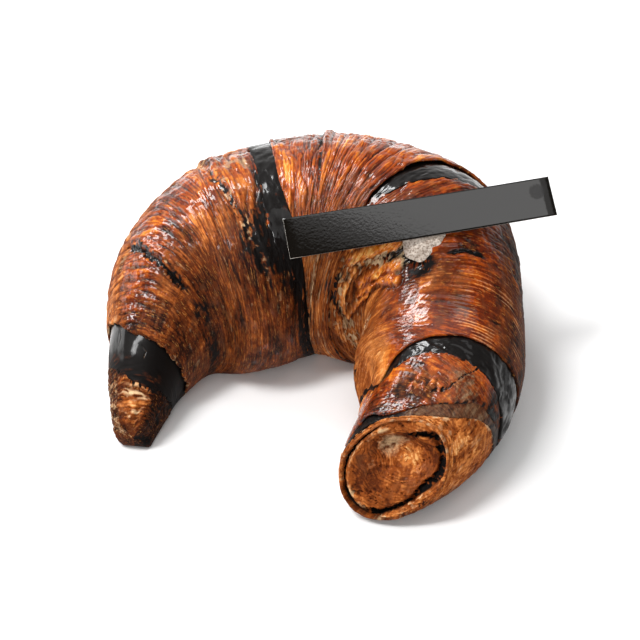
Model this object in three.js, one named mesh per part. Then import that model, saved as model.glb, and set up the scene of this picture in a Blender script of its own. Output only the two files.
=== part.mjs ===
import * as THREE from 'three';

// A glazed black sesame croissant lying on its flat underside, with a blank glossy card strip
// held on its back by a dab of icing. Millimetres, +Z up; the bay between the horns opens to -Y.

// ---------------------------------------------------------------- driving dimensions

// The roll, at stations evenly spaced along its centre line from the left tip to the cut end:
// plan x, plan y, half width, height, lean towards the cut end (deg), turn of the section (deg)
const STATIONS = [
  [-60.5, -33.5, 7, 14, 0, 0],
  [-57.5, -9.8, 15, 34, 0, -7],
  [-49.5, 11.5, 26, 52, 0, -8],
  [-32.8, 25.2, 39, 60, 0, -11],
  [-7.5, 36, 42.5, 62, 0, -12],
  [11.8, 34.2, 39.7, 65.5, 0, 2],
  [32.8, 19, 37, 66.5, 0, -5],
  [41.2, 1, 27.2, 57.5, 2, 1],
  [37.7, -24.2, 27.5, 43, 7, 5],
  [28.2, -42.7, 24.8, 40, 16, -5],
  [14, -58, 20, 34, 30, 0],
];
const ROLL_LENGTH = 233;          // along the centre line
const SQUARENESS = 2.15;          // exponent of the section's super-ellipse
const SINK = 0.12;                // how far the round section is cut off by its flat base
const TIP_REACH = 3;              // how far the left tip bulges past the first station

// The oval cut end of the right horn, where the inside of the roll shows
const CUT_END = {
  centre: new THREE.Vector3(22.7, -60.4, 17),
  facing: new THREE.Vector3(-0.30, -0.80, 0.52).normalize(),
  halfLong: 19.5,
  halfShort: 15,
  tilt: THREE.MathUtils.degToRad(49),
  blend: 0.12,                    // share of the roll that turns into the oval
};

// Its middle is dished, and a groove runs under the outer wrap from the top round to the bottom
// right. A share is measured from the oval's centre to its rim; 0 degrees is right, 90 up.
const DISH = { depth: 1.6, share: 0.95 };
const GROOVE = { depth: 3, share: 0.84, width: 0.09, starts: [-120, -70], ends: [70, 100] };

// Where one layer of dough ends over the next. side: -1 where the lower layer lies towards the
// left tip, +1 towards the cut end. drop: depth under the lip. reach: how far the lower layer
// takes to swell back. line: points of [degrees round the roll, place along it from 0 to 1],
// where 0 degrees is the outer side, 90 the top and 180 the side of the bay.
const LAYER_EDGES = [
  { side: -1, drop: 0.7, reach: 7, line: [[38, 0.074], [86, 0.054], [112, 0.044], [167, 0.039]] },
  { side: -1, drop: 1.8, reach: 12, line: [[20, 0.113], [74, 0.084], [142, 0.079], [183, 0.090]] },
  { side: -1, drop: 1.1, reach: 9, line: [[66, 0.177], [82, 0.169], [112, 0.156], [134, 0.154]] },
  { side: -1, drop: 0.6, reach: 9, line: [[61, 0.301], [95, 0.307], [124, 0.323], [170, 0.345]] },
  { side: -1, drop: 1.0, reach: 7, line: [[58, 0.370], [93, 0.370], [130, 0.400], [176, 0.478]] },
  { side: 1, drop: 1.2, reach: 9, line: [[39, 0.600], [54, 0.566], [90, 0.557], [138, 0.578]] },
  { side: 1, drop: 1.5, reach: 8, line: [[25, 0.811], [63, 0.815], [96, 0.839], [136, 0.926]] },
  { side: 1, drop: 0.9, reach: 6, line: [[43, 0.886], [80, 0.927], [112, 0.971]] },
];
const LIP_RISE = 1.6;             // the drop under a lip is reached this far past it
const EDGE_FADE = 25;             // degrees over which a layer's edge dies out past its line
const BASE_FADE = [0.5, 6];       // heights between which the relief grows from none to all of it

// The torn hollow beside the icing, and the flaky terraces of the left tip
const HOLLOW = { along: 0.727, degrees: 104, depth: 2.6, halfLength: 6, halfGirth: 7 };
const TIP_TERRACES = { length: 10, pitch: 2.6, depth: 0.5, fadesFrom: 0.6 };

// The card strip and the icing under it
const CARD = {
  left: new THREE.Vector3(-10.7, -1.6, 61.5),
  right: new THREE.Vector3(75.5, 14.3, 66.5),
  width: 13.4,
  thickness: 0.5,
  slopeLeft: 36,                  // degrees the card slopes down towards -Y at each end
  slopeRight: 32,
  sag: 0.6,
};
const ICING = {
  x: 33,
  y: 4,
  halfLong: 7.5,
  halfShort: 5.5,
  height: 2.6,
  rim: 0.3,                       // thickness at its thin edge
  lift: 0.56,                     // air under it, so that it stays clear of the crust
  lobes: { count: 3, size: 0.1, turn: 1 },
  ripples: { count: 7, size: 0.05 },
};
const GAP = 0.35;                 // air between the icing and the card

// Where the icing sits: this part of the roll's surface is searched for the height under it
const SHOULDER = { along: 0.6, length: 0.2, steps: 120, degrees: 45, columns: 90 };

// How finely the surfaces are divided
const ROUND = 36;
const ALONG = 118;
const FACE_RINGS = 9;
const TIP_RINGS = 3;
const CARD_STEPS = 24;
const ICING_ROUND = 24;
const ICING_UNDERSIDE = [0.35, 0.65, 0.88, 1];    // ring sizes from its middle to its edge
const ICING_TOP = [0.88, 0.65, 0.35];

// ---------------------------------------------------------------- the roll's surface

const smooth = (from, to, value) => THREE.MathUtils.smoothstep(value, from, to);

// A smooth curve through one column of the stations
function stationValue(column, along) {
  const last = STATIONS.length - 1;
  const at = (i) => {
    if (i < 0) return 2 * STATIONS[0][column] - STATIONS[1][column];
    if (i > last) return 2 * STATIONS[last][column] - STATIONS[last - 1][column];
    return STATIONS[i][column];
  };
  const place = THREE.MathUtils.clamp(along, 0, 1) * last;
  const i = Math.min(Math.floor(place), last - 1);
  const f = place - i;
  const [a, b, c, d] = [at(i - 1), at(i), at(i + 1), at(i + 2)];
  return 0.5 * (2 * b + (c - a) * f + (2 * a - 5 * b + 4 * c - d) * f * f
    + (3 * b - a - 3 * c + d) * f * f * f);
}

// Place, size and direction of the roll's section
function section(along) {
  const [x, y, half, height, lean, turn] = [0, 1, 2, 3, 4, 5].map((k) => stationValue(k, along));
  const step = 1e-3;
  const dx = stationValue(0, along + step) - stationValue(0, along - step);
  const dy = stationValue(1, along + step) - stationValue(1, along - step);
  const heading = new THREE.Vector2(dx, dy).normalize()
    .rotateAround(new THREE.Vector2(), THREE.MathUtils.degToRad(turn));
  return { x, y, half, height, heading, lean: THREE.MathUtils.degToRad(lean) };
}

const bulged = (value) => Math.sign(value) * Math.abs(value) ** (2 / SQUARENESS);

// A point on the leaning super-ellipse section, never below the base
function rollPoint({ x, y, half, height, heading, lean }, angle) {
  const radius = (height / 2) * (1 + SINK);
  const across = half * bulged(Math.cos(angle));
  const up = Math.max(radius * bulged(Math.sin(angle)) + height - radius, 0);
  return new THREE.Vector3(
    x - heading.y * across - heading.x * up * Math.sin(lean),
    y + heading.x * across - heading.y * up * Math.sin(lean),
    up * Math.cos(lean),
  );
}

const faceRight = new THREE.Vector3(0, 0, 1).cross(CUT_END.facing).normalize();
const faceUp = CUT_END.facing.clone().cross(faceRight);

// A point on the cut end's plane, at a share of the way from its centre to its rim
function facePoint(angle, share) {
  const { centre, halfLong, halfShort, tilt } = CUT_END;
  const rim = (halfLong * halfShort)
    / Math.hypot(halfShort * Math.cos(angle - tilt), halfLong * Math.sin(angle - tilt));
  return centre.clone()
    .addScaledVector(faceRight, share * rim * Math.cos(angle))
    .addScaledVector(faceUp, share * rim * Math.sin(angle));
}

// Where a layer's edge lies along the roll, at a number of degrees round it
function placeOnLine(line, degrees) {
  if (degrees <= line[0][0]) return line[0][1];
  for (let i = 1; i < line.length; i += 1) {
    const [[d0, a0], [d1, a1]] = [line[i - 1], line[i]];
    if (degrees <= d1) return THREE.MathUtils.mapLinear(degrees, d0, d1, a0, a1);
  }
  return line.at(-1)[1];
}

// How deep the surface lies under the lip of one layer
function dropUnder({ side, drop, reach, line }, along, degrees) {
  const past = (along - placeOnLine(line, degrees)) * side * ROLL_LENGTH;
  if (past <= 0) return 0;
  const first = line[0][0];
  const last = line.at(-1)[0];
  const fade = smooth(first - EDGE_FADE, first, degrees) * (1 - smooth(last, last + EDGE_FADE, degrees));
  return drop * fade * Math.min(past / LIP_RISE, 1) * Math.exp(-past / reach);
}

function reliefDepth(along, degrees, girthRadius) {
  let depth = 0;
  for (const edge of LAYER_EDGES) depth += dropUnder(edge, along, degrees);

  const lengthwise = ((along - HOLLOW.along) * ROLL_LENGTH) / HOLLOW.halfLength;
  const round = (THREE.MathUtils.degToRad(degrees - HOLLOW.degrees) * girthRadius) / HOLLOW.halfGirth;
  depth += HOLLOW.depth * Math.exp(-lengthwise * lengthwise - round * round);

  const fromTip = along * ROLL_LENGTH;
  const stair = (fromTip / TIP_TERRACES.pitch) % 1;
  const faded = smooth(TIP_TERRACES.fadesFrom, 1, fromTip / TIP_TERRACES.length);
  return depth + TIP_TERRACES.depth * stair * (1 - faded);
}

// The croissant's skin: along runs from 0 at the left tip to 1 at the cut end's rim
function skinPoint(along, angle) {
  const place = section(along);
  const point = rollPoint(place, angle);
  const degrees = THREE.MathUtils.euclideanModulo(THREE.MathUtils.radToDeg(angle) + 90, 360) - 90;

  const middle = new THREE.Vector3(place.x, place.y, place.height / 2);
  const inward = middle.sub(point).normalize();
  const clearOfBase = smooth(...BASE_FADE, point.z);
  point.addScaledVector(inward, reliefDepth(along, degrees, place.half) * clearOfBase);

  const share = smooth(1 - CUT_END.blend, 1, along);
  point.lerp(facePoint(angle, 1), share);
  point.z = Math.max(point.z, 0);
  return point;
}

// How deep the cut end is hollowed
function faceDepth(angle, share) {
  const degrees = THREE.MathUtils.euclideanModulo(THREE.MathUtils.radToDeg(angle) + 180, 360) - 180;
  const grooveArc = smooth(...GROOVE.starts, degrees) * (1 - smooth(...GROOVE.ends, degrees));
  const fromGroove = (share - GROOVE.share) / GROOVE.width;
  const dish = 1 - smooth(0, DISH.share, share);
  return GROOVE.depth * grooveArc * Math.exp(-fromGroove * fromGroove) + DISH.depth * dish;
}

// ---------------------------------------------------------------- closed meshes

// Joins closed rings of points into one solid, with a point at each end
function closeRings(firstPoint, rings, lastPoint) {
  const points = [firstPoint, ...rings.flat(), lastPoint];
  const around = rings[0].length;
  const index = [];
  const at = (ring, k) => 1 + ring * around + (k % around);
  for (let k = 0; k < around; k += 1) {
    index.push(0, at(0, k + 1), at(0, k));
    for (let ring = 0; ring + 1 < rings.length; ring += 1) {
      index.push(at(ring, k), at(ring + 1, k + 1), at(ring + 1, k));
      index.push(at(ring, k), at(ring, k + 1), at(ring + 1, k + 1));
    }
    index.push(points.length - 1, at(rings.length - 1, k), at(rings.length - 1, k + 1));
  }
  const geometry = new THREE.BufferGeometry().setFromPoints(points);
  geometry.setIndex(index);
  geometry.computeVertexNormals();
  return geometry;
}

const angles = Array.from({ length: ROUND }, (_, k) => (2 * Math.PI * (k + 0.5)) / ROUND);

function croissantGeometry() {
  const rings = [];

  // the blunt left tip, drawn in towards its own middle
  const tip = section(0);
  const tipMiddle = new THREE.Vector3(tip.x, tip.y, tip.height / 2);
  const outward = new THREE.Vector3(-tip.heading.x, -tip.heading.y, 0);
  const tipEnd = tipMiddle.clone().addScaledVector(outward, TIP_REACH);
  for (let i = 1; i <= TIP_RINGS; i += 1) {
    const turn = (Math.PI / 2) * (i / (TIP_RINGS + 1));
    rings.push(angles.map((angle) => {
      const middle = tipEnd.clone().lerp(tipMiddle, 1 - Math.cos(turn));
      const onRim = skinPoint(0, angle);
      return middle.add(onRim.sub(tipMiddle).multiplyScalar(Math.sin(turn)));
    }));
  }

  for (let i = 0; i <= ALONG; i += 1) {
    rings.push(angles.map((angle) => skinPoint(i / ALONG, angle)));
  }

  // the cut end, in rings from its rim to its middle
  for (let i = 1; i < FACE_RINGS; i += 1) {
    const share = 1 - i / FACE_RINGS;
    rings.push(angles.map((angle) => {
      const point = facePoint(angle, share).addScaledVector(CUT_END.facing, -faceDepth(angle, share));
      point.z = Math.max(point.z, 0);
      return point;
    }));
  }
  const faceMiddle = CUT_END.centre.clone().addScaledVector(CUT_END.facing, -faceDepth(0, 0));
  return closeRings(tipEnd, rings, faceMiddle);
}

// The card's centre line, and the directions across it and off its face, at a share of its length
function cardFrame(share) {
  const along = CARD.right.clone().sub(CARD.left).normalize();
  const slope = THREE.MathUtils.degToRad(THREE.MathUtils.lerp(CARD.slopeLeft, CARD.slopeRight, share));
  const off = new THREE.Vector3(0, -Math.sin(slope), Math.cos(slope));
  off.addScaledVector(along, -off.dot(along)).normalize();
  const across = off.clone().cross(along);
  const middle = CARD.left.clone().lerp(CARD.right, share);
  middle.addScaledVector(off, -CARD.sag * Math.sin(Math.PI * share));
  return { middle, along, across, off };
}

function cardGeometry() {
  const half = CARD.width / 2;
  const corners = [[half, 0], [-half, 0], [-half, -CARD.thickness], [half, -CARD.thickness]];
  const rings = [];
  for (let i = 0; i <= CARD_STEPS; i += 1) {
    const { middle, across, off } = cardFrame(i / CARD_STEPS);
    const corner = ([a, b]) => middle.clone().addScaledVector(across, a).addScaledVector(off, b);
    rings.push(corners.map(corner));
  }
  const sumOf = (ring) => ring.reduce((sum, point) => sum.add(point), new THREE.Vector3());
  const middleOf = (ring) => sumOf(ring).divideScalar(ring.length);
  return closeRings(middleOf(rings[0]), rings, middleOf(rings.at(-1)));
}

// Points all over the patch of skin that the icing sits on
function shoulderPoints() {
  const points = [];
  for (let i = 0; i <= SHOULDER.steps; i += 1) {
    for (let k = 0; k <= SHOULDER.columns; k += 1) {
      const along = SHOULDER.along + (SHOULDER.length * i) / SHOULDER.steps;
      points.push(skinPoint(along, THREE.MathUtils.degToRad(SHOULDER.degrees + k)));
    }
  }
  return points;
}

// The height of the nearest of some points to a place in plan
function heightAt(points, x, y) {
  const away = (point) => Math.hypot(point.x - x, point.y - y);
  return points.reduce((best, point) => (away(point) < away(best) ? point : best)).z;
}

// The height of the card's underside, or of its plane carried on past its edge
function underCard(x, y) {
  const { middle, off } = cardFrame(0.5);
  const top = middle.z - (off.x * (x - middle.x) + off.y * (y - middle.y)) / off.z;
  return top - (CARD.thickness + GAP) / off.z;
}

// A dome that follows the crust below it and is cut off by the card above it
function icingGeometry() {
  const { lobes, ripples } = ICING;
  const shoulder = shoulderPoints();
  const place = (angle, share, isTop) => {
    const uneven = 1 + lobes.size * Math.sin(lobes.count * angle + lobes.turn)
      + ripples.size * Math.sin(ripples.count * angle);
    const x = ICING.x + ICING.halfLong * share * uneven * Math.cos(angle);
    const y = ICING.y + ICING.halfShort * share * uneven * Math.sin(angle);
    const base = heightAt(shoulder, x, y) + ICING.lift;
    const dome = isTop ? ICING.height * Math.sqrt(Math.max(1 - share * share, 0)) : 0;
    return new THREE.Vector3(x, y, Math.max(base, Math.min(base + ICING.rim + dome, underCard(x, y))));
  };
  const turns = Array.from({ length: ICING_ROUND }, (_, k) => (2 * Math.PI * k) / ICING_ROUND);
  const ring = (share, isTop) => turns.map((angle) => place(angle, share, isTop));
  const rings = [
    ...ICING_UNDERSIDE.map((share) => ring(share, false)),
    ...ICING_TOP.map((share) => ring(share, true)),
  ];
  return closeRings(place(0, 0, false), rings, place(0, 0, true));
}

// ---------------------------------------------------------------- the part

function piece(name, geometry, colour, roughness) {
  const material = new THREE.MeshStandardMaterial({ color: colour, roughness, metalness: 0 });
  const mesh = new THREE.Mesh(geometry, material);
  mesh.name = name;
  return mesh;
}

const part = new THREE.Group();
part.add(
  piece('croissant', croissantGeometry(), 0x7a3814, 0.35),
  piece('card_strip', cardGeometry(), 0x1b1b1c, 0.25),
  piece('icing_dab', icingGeometry(), 0xc9c2bc, 0.8),
);

// the origin is the middle of the footprint, at the height of the base
const box = new THREE.Box3().setFromObject(part);
part.position.set(-(box.min.x + box.max.x) / 2, -(box.min.y + box.max.y) / 2, -box.min.z);

export default part;
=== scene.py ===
# %% [markdown]
# # A black sesame croissant, layer by layer
#
# The real thing is a long triangle of laminated dough, striped with black sesame dough, that is
# rolled up, curled round and glazed with syrup. Each turn of the roll ends in a lip that lies over
# the turn below it, stepping down from the fat middle to the two ends. This lesson builds it the
# same way: every turn is its own sheet of dough, wrapped round one common roll.

# %% Open the frame
import math

import bpy
import numpy as np
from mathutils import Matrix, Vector


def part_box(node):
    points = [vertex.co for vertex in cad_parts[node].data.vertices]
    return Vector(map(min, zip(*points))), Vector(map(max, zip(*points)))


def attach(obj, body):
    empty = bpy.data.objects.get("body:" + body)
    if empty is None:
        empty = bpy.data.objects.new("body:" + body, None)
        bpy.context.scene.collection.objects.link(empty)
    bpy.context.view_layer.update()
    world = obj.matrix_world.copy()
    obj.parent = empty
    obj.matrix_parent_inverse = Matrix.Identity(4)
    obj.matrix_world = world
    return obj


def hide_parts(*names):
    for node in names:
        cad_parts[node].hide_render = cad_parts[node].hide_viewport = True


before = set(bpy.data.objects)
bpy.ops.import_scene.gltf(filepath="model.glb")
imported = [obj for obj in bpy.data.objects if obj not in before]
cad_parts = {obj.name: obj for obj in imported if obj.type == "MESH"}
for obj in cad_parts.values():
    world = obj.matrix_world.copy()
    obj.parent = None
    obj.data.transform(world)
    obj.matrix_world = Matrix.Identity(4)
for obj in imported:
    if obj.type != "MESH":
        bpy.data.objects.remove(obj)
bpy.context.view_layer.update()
MM = 0.001

# %% [markdown]
# ## The roll
#
# The roll is a row of round sections along a curled centre line, each one flattened underneath
# where it lay on the baking tray. It could be sculpted freely, but then the visible layers would
# drift away from the solid, so the sections below are the solid's own driving sizes. A smooth
# curve runs through each column.

# %% The sections of the roll, in millimetres and degrees
STATIONS = np.array([
    # x, y, half width, height, lean, turn; evenly spaced from the left tip to the cut end
    (-60.5, -33.5, 7, 14, 0, 0),
    (-57.5, -9.8, 15, 34, 0, -7),
    (-49.5, 11.5, 26, 52, 0, -8),
    (-32.8, 25.2, 39, 60, 0, -11),
    (-7.5, 36, 42.5, 62, 0, -12),
    (11.8, 34.2, 39.7, 65.5, 0, 2),
    (32.8, 19, 37, 66.5, 0, -5),
    (41.2, 1, 27.2, 57.5, 2, 1),
    (37.7, -24.2, 27.5, 43, 7, 5),
    (28.2, -42.7, 24.8, 40, 16, -5),
    (14, -58, 20, 34, 30, 0),
])
ROLL_LENGTH = 233         # along the centre line
SQUARENESS = 2.15         # exponent of the section's rounded outline
SINK = 0.12               # how far the round section is cut off by its flat base
print("the roll is", ROLL_LENGTH, "mm long and has", len(STATIONS), "sections")


def smooth(low, high, value):
    """0 below low, 1 above high, and an S-curve between."""
    t = np.clip((value - low) / (high - low), 0, 1)
    return t * t * (3 - 2 * t)


def station_value(column, along):
    """One column of the sections, read anywhere along the roll by a Catmull-Rom curve."""
    values = STATIONS[:, column]
    ends = (2 * values[0] - values[1], 2 * values[-1] - values[-2])
    padded = np.concatenate([ends[:1], values, ends[1:]])
    place = np.clip(along, 0, 1) * (len(values) - 1)
    i = np.minimum(place.astype(int), len(values) - 2)
    f = place - i
    a, b, c, d = (padded[i + k] for k in range(4))
    return 0.5 * (2 * b + (c - a) * f + (2 * a - 5 * b + 4 * c - d) * f**2
                  + (3 * b - a - 3 * c + d) * f**3)


def section(along):
    """Place, size and heading of the roll's section, for an array of places along it."""
    x, y, half, height, lean, turn = (station_value(k, along) for k in range(6))
    step = 1e-3
    hx = station_value(0, along + step) - station_value(0, along - step)
    hy = station_value(1, along + step) - station_value(1, along - step)
    size = np.hypot(hx, hy)
    cos, sin = np.cos(np.radians(turn)) / size, np.sin(np.radians(turn)) / size
    return x, y, half, height, np.radians(lean), hx * cos - hy * sin, hx * sin + hy * cos

# %% [markdown]
# ## The cut end and the roll's surface
#
# The right end was sliced off at a slant, so the last sections turn from round into a tilted oval.
# Everything that follows asks the surface for three things: a point, the direction out of the
# dough, and how many millimetres one step along the roll measures there.

# %% The oval cut end
CUT_CENTRE = np.array([22.7, -60.4, 17])
CUT_FACING = np.array([-0.30, -0.80, 0.52]) / np.linalg.norm([-0.30, -0.80, 0.52])
CUT_LONG, CUT_SHORT, CUT_TILT = 19.5, 15, math.radians(49)    # half sizes of the oval, and its turn
CUT_BLEND = 0.12                                              # share of the roll that turns oval
FACE_RIGHT = np.cross([0, 0, 1], CUT_FACING) / np.linalg.norm(np.cross([0, 0, 1], CUT_FACING))
FACE_UP = np.cross(CUT_FACING, FACE_RIGHT)
print("the cut face is", 2 * CUT_LONG, "by", 2 * CUT_SHORT, "mm")


def face_point(angle, share):
    """A point on the cut end's plane, a share of the way from its centre to its rim."""
    rim = CUT_LONG * CUT_SHORT / np.hypot(CUT_SHORT * np.cos(angle - CUT_TILT),
                                          CUT_LONG * np.sin(angle - CUT_TILT))
    right, up = share * rim * np.cos(angle), share * rim * np.sin(angle)
    return CUT_CENTRE + right[..., None] * FACE_RIGHT + up[..., None] * FACE_UP


# %% Points on the roll
def bulged(value):
    """Turns a sine or cosine into that of a slightly squarer circle."""
    return np.sign(value) * np.abs(value) ** (2 / SQUARENESS)


def roll_point(along, angle):
    """The plain surface of the roll: angle 0 is its outer side, 90 degrees its top."""
    x, y, half, height, lean, hx, hy = section(along)
    radius = height / 2 * (1 + SINK)
    across = half * bulged(np.cos(angle))
    up = np.maximum(radius * bulged(np.sin(angle)) + height - radius, 0)
    points = np.stack([x - hy * across - hx * up * np.sin(lean),
                       y + hx * across - hy * up * np.sin(lean),
                       up * np.cos(lean)], axis=-1)
    share = smooth(1 - CUT_BLEND, 1, along)[..., None]
    points = points * (1 - share) + face_point(angle, np.ones_like(angle)) * share
    points[..., 2] = np.maximum(points[..., 2], 0)
    return points


def roll_frame(along, angle):
    """Points, outward normals and millimetres per unit of along."""
    du, dv = 1e-3, 1e-2
    inside = np.clip(along, du, 1 - du)
    forward = roll_point(inside + du, angle) - roll_point(inside - du, angle)
    sideways = roll_point(along, angle + dv) - roll_point(along, angle - dv)
    normal = np.cross(sideways, forward)
    normal /= np.linalg.norm(normal, axis=-1, keepdims=True) + 1e-12
    return roll_point(along, angle), normal, np.linalg.norm(forward, axis=-1) / (2 * du)

# %% [markdown]
# ## Where the roll stands
#
# The solid was centred on its footprint after it was built. The card strip is the easiest piece to
# measure that by: its corners are worked out here and compared with the solid's.

# %% Shift to the shared frame
CARD_LEFT, CARD_RIGHT = np.array([-10.7, -1.6, 61.5]), np.array([75.5, 14.3, 66.5])
CARD_WIDTH, CARD_THICK, CARD_SAG = 13.4, 0.5, 0.6
CARD_SLOPES = (36, 32)    # degrees it slopes down towards the bay at its two ends


def card_point(share, across_share, down_share):
    """A point of the card strip: share of its length, of its width from its middle, of its thickness."""
    along = (CARD_RIGHT - CARD_LEFT) / np.linalg.norm(CARD_RIGHT - CARD_LEFT)
    slope = np.radians(CARD_SLOPES[0] + (CARD_SLOPES[1] - CARD_SLOPES[0]) * share)[:, None]
    off = np.array([0, 0, 1]) * np.cos(slope) - np.array([0, 1, 0]) * np.sin(slope)
    off = off - (off @ along)[:, None] * along
    off /= np.linalg.norm(off, axis=1, keepdims=True)
    middle = CARD_LEFT + (CARD_RIGHT - CARD_LEFT) * share[:, None]
    middle = middle - off * (CARD_SAG * np.sin(np.pi * share))[:, None]
    across = np.cross(off, along)
    return middle + across * (across_share * CARD_WIDTH)[:, None] - off * (down_share * CARD_THICK)[:, None]


ends = card_point(np.repeat([0.0, 1.0], 4), np.tile([-0.5, 0.5], 4), np.tile([0.0, 0.0, 1.0, 1.0], 2))
card_low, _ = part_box("card_strip")
PLAN_SHIFT = np.array([card_low.x / MM - ends[:, 0].min(), card_low.y / MM - ends[:, 1].min(), 0])
print("everything is moved by", PLAN_SHIFT.round(2), "mm, so that the card lies where the solid's does")


def to_metres(points):
    """Millimetres on the roll's own drawing, turned into metres in the shared frame."""
    return (np.asarray(points) + PLAN_SHIFT) * MM


# %% [markdown]
# ## Camera
#
# The picture looks down at 42 degrees from the side of the bay. Its lines hardly converge, so the
# lens is long and the camera stands well back.

# %% Camera
ELEVATION = math.radians(42)
FIELD = math.radians(22)
HALF_PICTURE = 320        # pixels from the middle of the picture to its edge
SCALE = 0.335             # millimetres for each pixel at the point looked at
SENSOR = 36
LOOK_AT = np.array([0, 0, 25])
distance = HALF_PICTURE / math.tan(FIELD / 2) * SCALE
back = np.array([0, -math.cos(ELEVATION), math.sin(ELEVATION)])
camera_data = bpy.data.cameras.new("camera")
camera_data.sensor_width = SENSOR
camera_data.lens = SENSOR / 2 / math.tan(FIELD / 2)
camera_data.clip_start, camera_data.clip_end = 0.01, 20
camera = bpy.data.objects.new("camera", camera_data)
bpy.context.scene.collection.objects.link(camera)
camera.location = to_metres(LOOK_AT + back * distance)
camera.rotation_euler = Vector(-back).to_track_quat("-Z", "Y").to_euler()
bpy.context.scene.camera = camera
print("the camera stands", round(distance), "mm away")

# %% [markdown]
# ## Light
#
# The syrup's white streaks show where the light stands: along the crown and on the tops of both
# horns. So two long soft windows hang behind and above on the left, a dim ceiling lifts the right
# horn, and a low wall on the left is seen only in the gloss. The card is a mirror of its own, and
# a small light over it brightens its right end and leaves the left end dark. A front fill without
# reflections keeps the side of the bay readable.

# %% Soft lights
bpy.context.scene.view_settings.view_transform = "Standard"
AIM_HEIGHT = 0.03         # metres above the table that every light looks at


def soft_light(name, direction, away, width, depth, power):
    """A rectangular soft light that looks at the croissant from a direction."""
    data = bpy.data.lights.new(name, "AREA")
    data.shape = "RECTANGLE"
    data.size, data.size_y = width, depth
    data.energy = power
    light = bpy.data.objects.new(name, data)
    bpy.context.scene.collection.objects.link(light)
    aim = Vector(direction).normalized()
    light.location = aim * away + Vector((0, 0, AIM_HEIGHT))
    light.rotation_euler = (-aim).to_track_quat("-Z", "Y").to_euler()
    print(f"{name}: {power} W, {width} by {depth} m")
    return light


def toward(azimuth, elevation):
    """A direction: azimuth 0 is behind the croissant and -90 its left."""
    turn, rise = math.radians(azimuth), math.radians(elevation)
    return math.sin(turn) * math.cos(rise), math.cos(turn) * math.cos(rise), math.sin(rise)


soft_light("window", toward(-38, 47), 0.9, 0.66, 0.18, 6.0)
soft_light("side_window", (-0.45, -0.17, 0.88), 0.9, 0.17, 0.50, 6.4)
soft_light("ceiling", toward(80, 82), 0.9, 0.62, 0.62, 0.9)
card_light = soft_light("card_light", (0.17, -0.189, 0.965), 1.0, 0.25, 0.17, 0.24)
card_light.rotation_euler = (0.20, 0.17, 0)      # its front edge lies across the card
fill = soft_light("front_fill", toward(190, 35), 1.4, 1.2, 0.8, 4)
fill.visible_glossy = False
left_wall = soft_light("left_wall", toward(-84, 13), 0.9, 0.60, 0.34, 2.0)
left_wall.visible_diffuse = False

# %% [markdown]
# ## Surroundings and table
#
# A pale room lights the dough evenly. In the gloss, though, an evenly white room would turn the
# syrup milky, so what is mirrored fades with height and towards the viewer, and only the horizon
# behind the croissant stays bright.

# %% The room's light
ROOM_LIGHT = 0.40
world = bpy.data.worlds.new("studio")
bpy.context.scene.world = world
world.use_nodes = True
air = world.node_tree
surround = air.nodes["Background"]
surround.inputs["Color"].default_value = (1, 0.99, 0.98, 1)
gaze = air.nodes.new("ShaderNodeTexCoord")
split = air.nodes.new("ShaderNodeSeparateXYZ")
air.links.new(gaze.outputs["Generated"], split.inputs[0])


def room_fade(direction, low, high, start, end):
    """Brightness that goes from start to end between two values of one direction."""
    node = air.nodes.new("ShaderNodeMapRange")
    for label, number in (("From Min", low), ("From Max", high), ("To Min", start), ("To Max", end)):
        node.inputs[label].default_value = number
    air.links.new(split.outputs[direction], node.inputs["Value"])
    return node.outputs[0]


mirrored = air.nodes.new("ShaderNodeMath")
mirrored.operation = "MULTIPLY"
air.links.new(room_fade("Z", 0.05, 0.45, 1.0, 0.25), mirrored.inputs[0])
air.links.new(room_fade("Y", -0.5, 0.5, 0.2, 0.75), mirrored.inputs[1])
ray = air.nodes.new("ShaderNodeLightPath")
strength = air.nodes.new("ShaderNodeMix")
strength.inputs["A"].default_value = ROOM_LIGHT
air.links.new(ray.outputs["Is Glossy Ray"], strength.inputs["Factor"])
air.links.new(mirrored.outputs[0], strength.inputs["B"])
air.links.new(strength.outputs["Result"], surround.inputs["Strength"])
print("the room shines at", ROOM_LIGHT)

# %% Table top
TABLE = 6                 # metres across
bpy.ops.object.select_all(action="DESELECT")
bpy.ops.mesh.primitive_plane_add(size=TABLE, location=(0, 0, 0))
table = bpy.context.object
table.name = "table"
print("the table is", TABLE, "m across")

# %% [markdown]
# ## Noise for dough
#
# Crust is never even, so every layer reads smooth noise. It is made here, and not by a texture,
# because it shapes the mesh as well as the colour. It runs in three directions: along the roll and
# twice round it, so that a pattern closes on itself underneath.

# %% Smooth noise
GIRTH = 30                # radius in mm that stands for the way round in every pattern
LATTICE_STEPS = (374761393, 668265263, 1440662683, 974634777)    # large odd numbers that mix well
LATTICE_MIX = 1274126177


def lattice(x, y, z, seed):
    """A repeatable number from -1 to 1 for each corner of a lattice."""
    mixed = sum(v * step for v, step in zip((x, y, z, seed), LATTICE_STEPS)) & 0xFFFFFFFF
    mixed = ((mixed ^ (mixed >> 13)) * LATTICE_MIX) & 0xFFFFFFFF
    return ((mixed ^ (mixed >> 16)) & 0xFFFF) / 32767.5 - 1


def noise3(x, y, z, seed):
    """Smooth noise between -1 and 1."""
    cell = [np.floor(v).astype(np.int64) for v in (x, y, z)]
    ease = [(v - c) ** 3 * ((v - c) * ((v - c) * 6 - 15) + 10) for v, c in zip((x, y, z), cell)]
    total = 0
    for i in (0, 1):
        for j in (0, 1):
            for k in (0, 1):
                weight = ((ease[0] if i else 1 - ease[0]) * (ease[1] if j else 1 - ease[1])
                          * (ease[2] if k else 1 - ease[2]))
                total = total + weight * lattice(cell[0] + i, cell[1] + j, cell[2] + k, seed)
    return total

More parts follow.
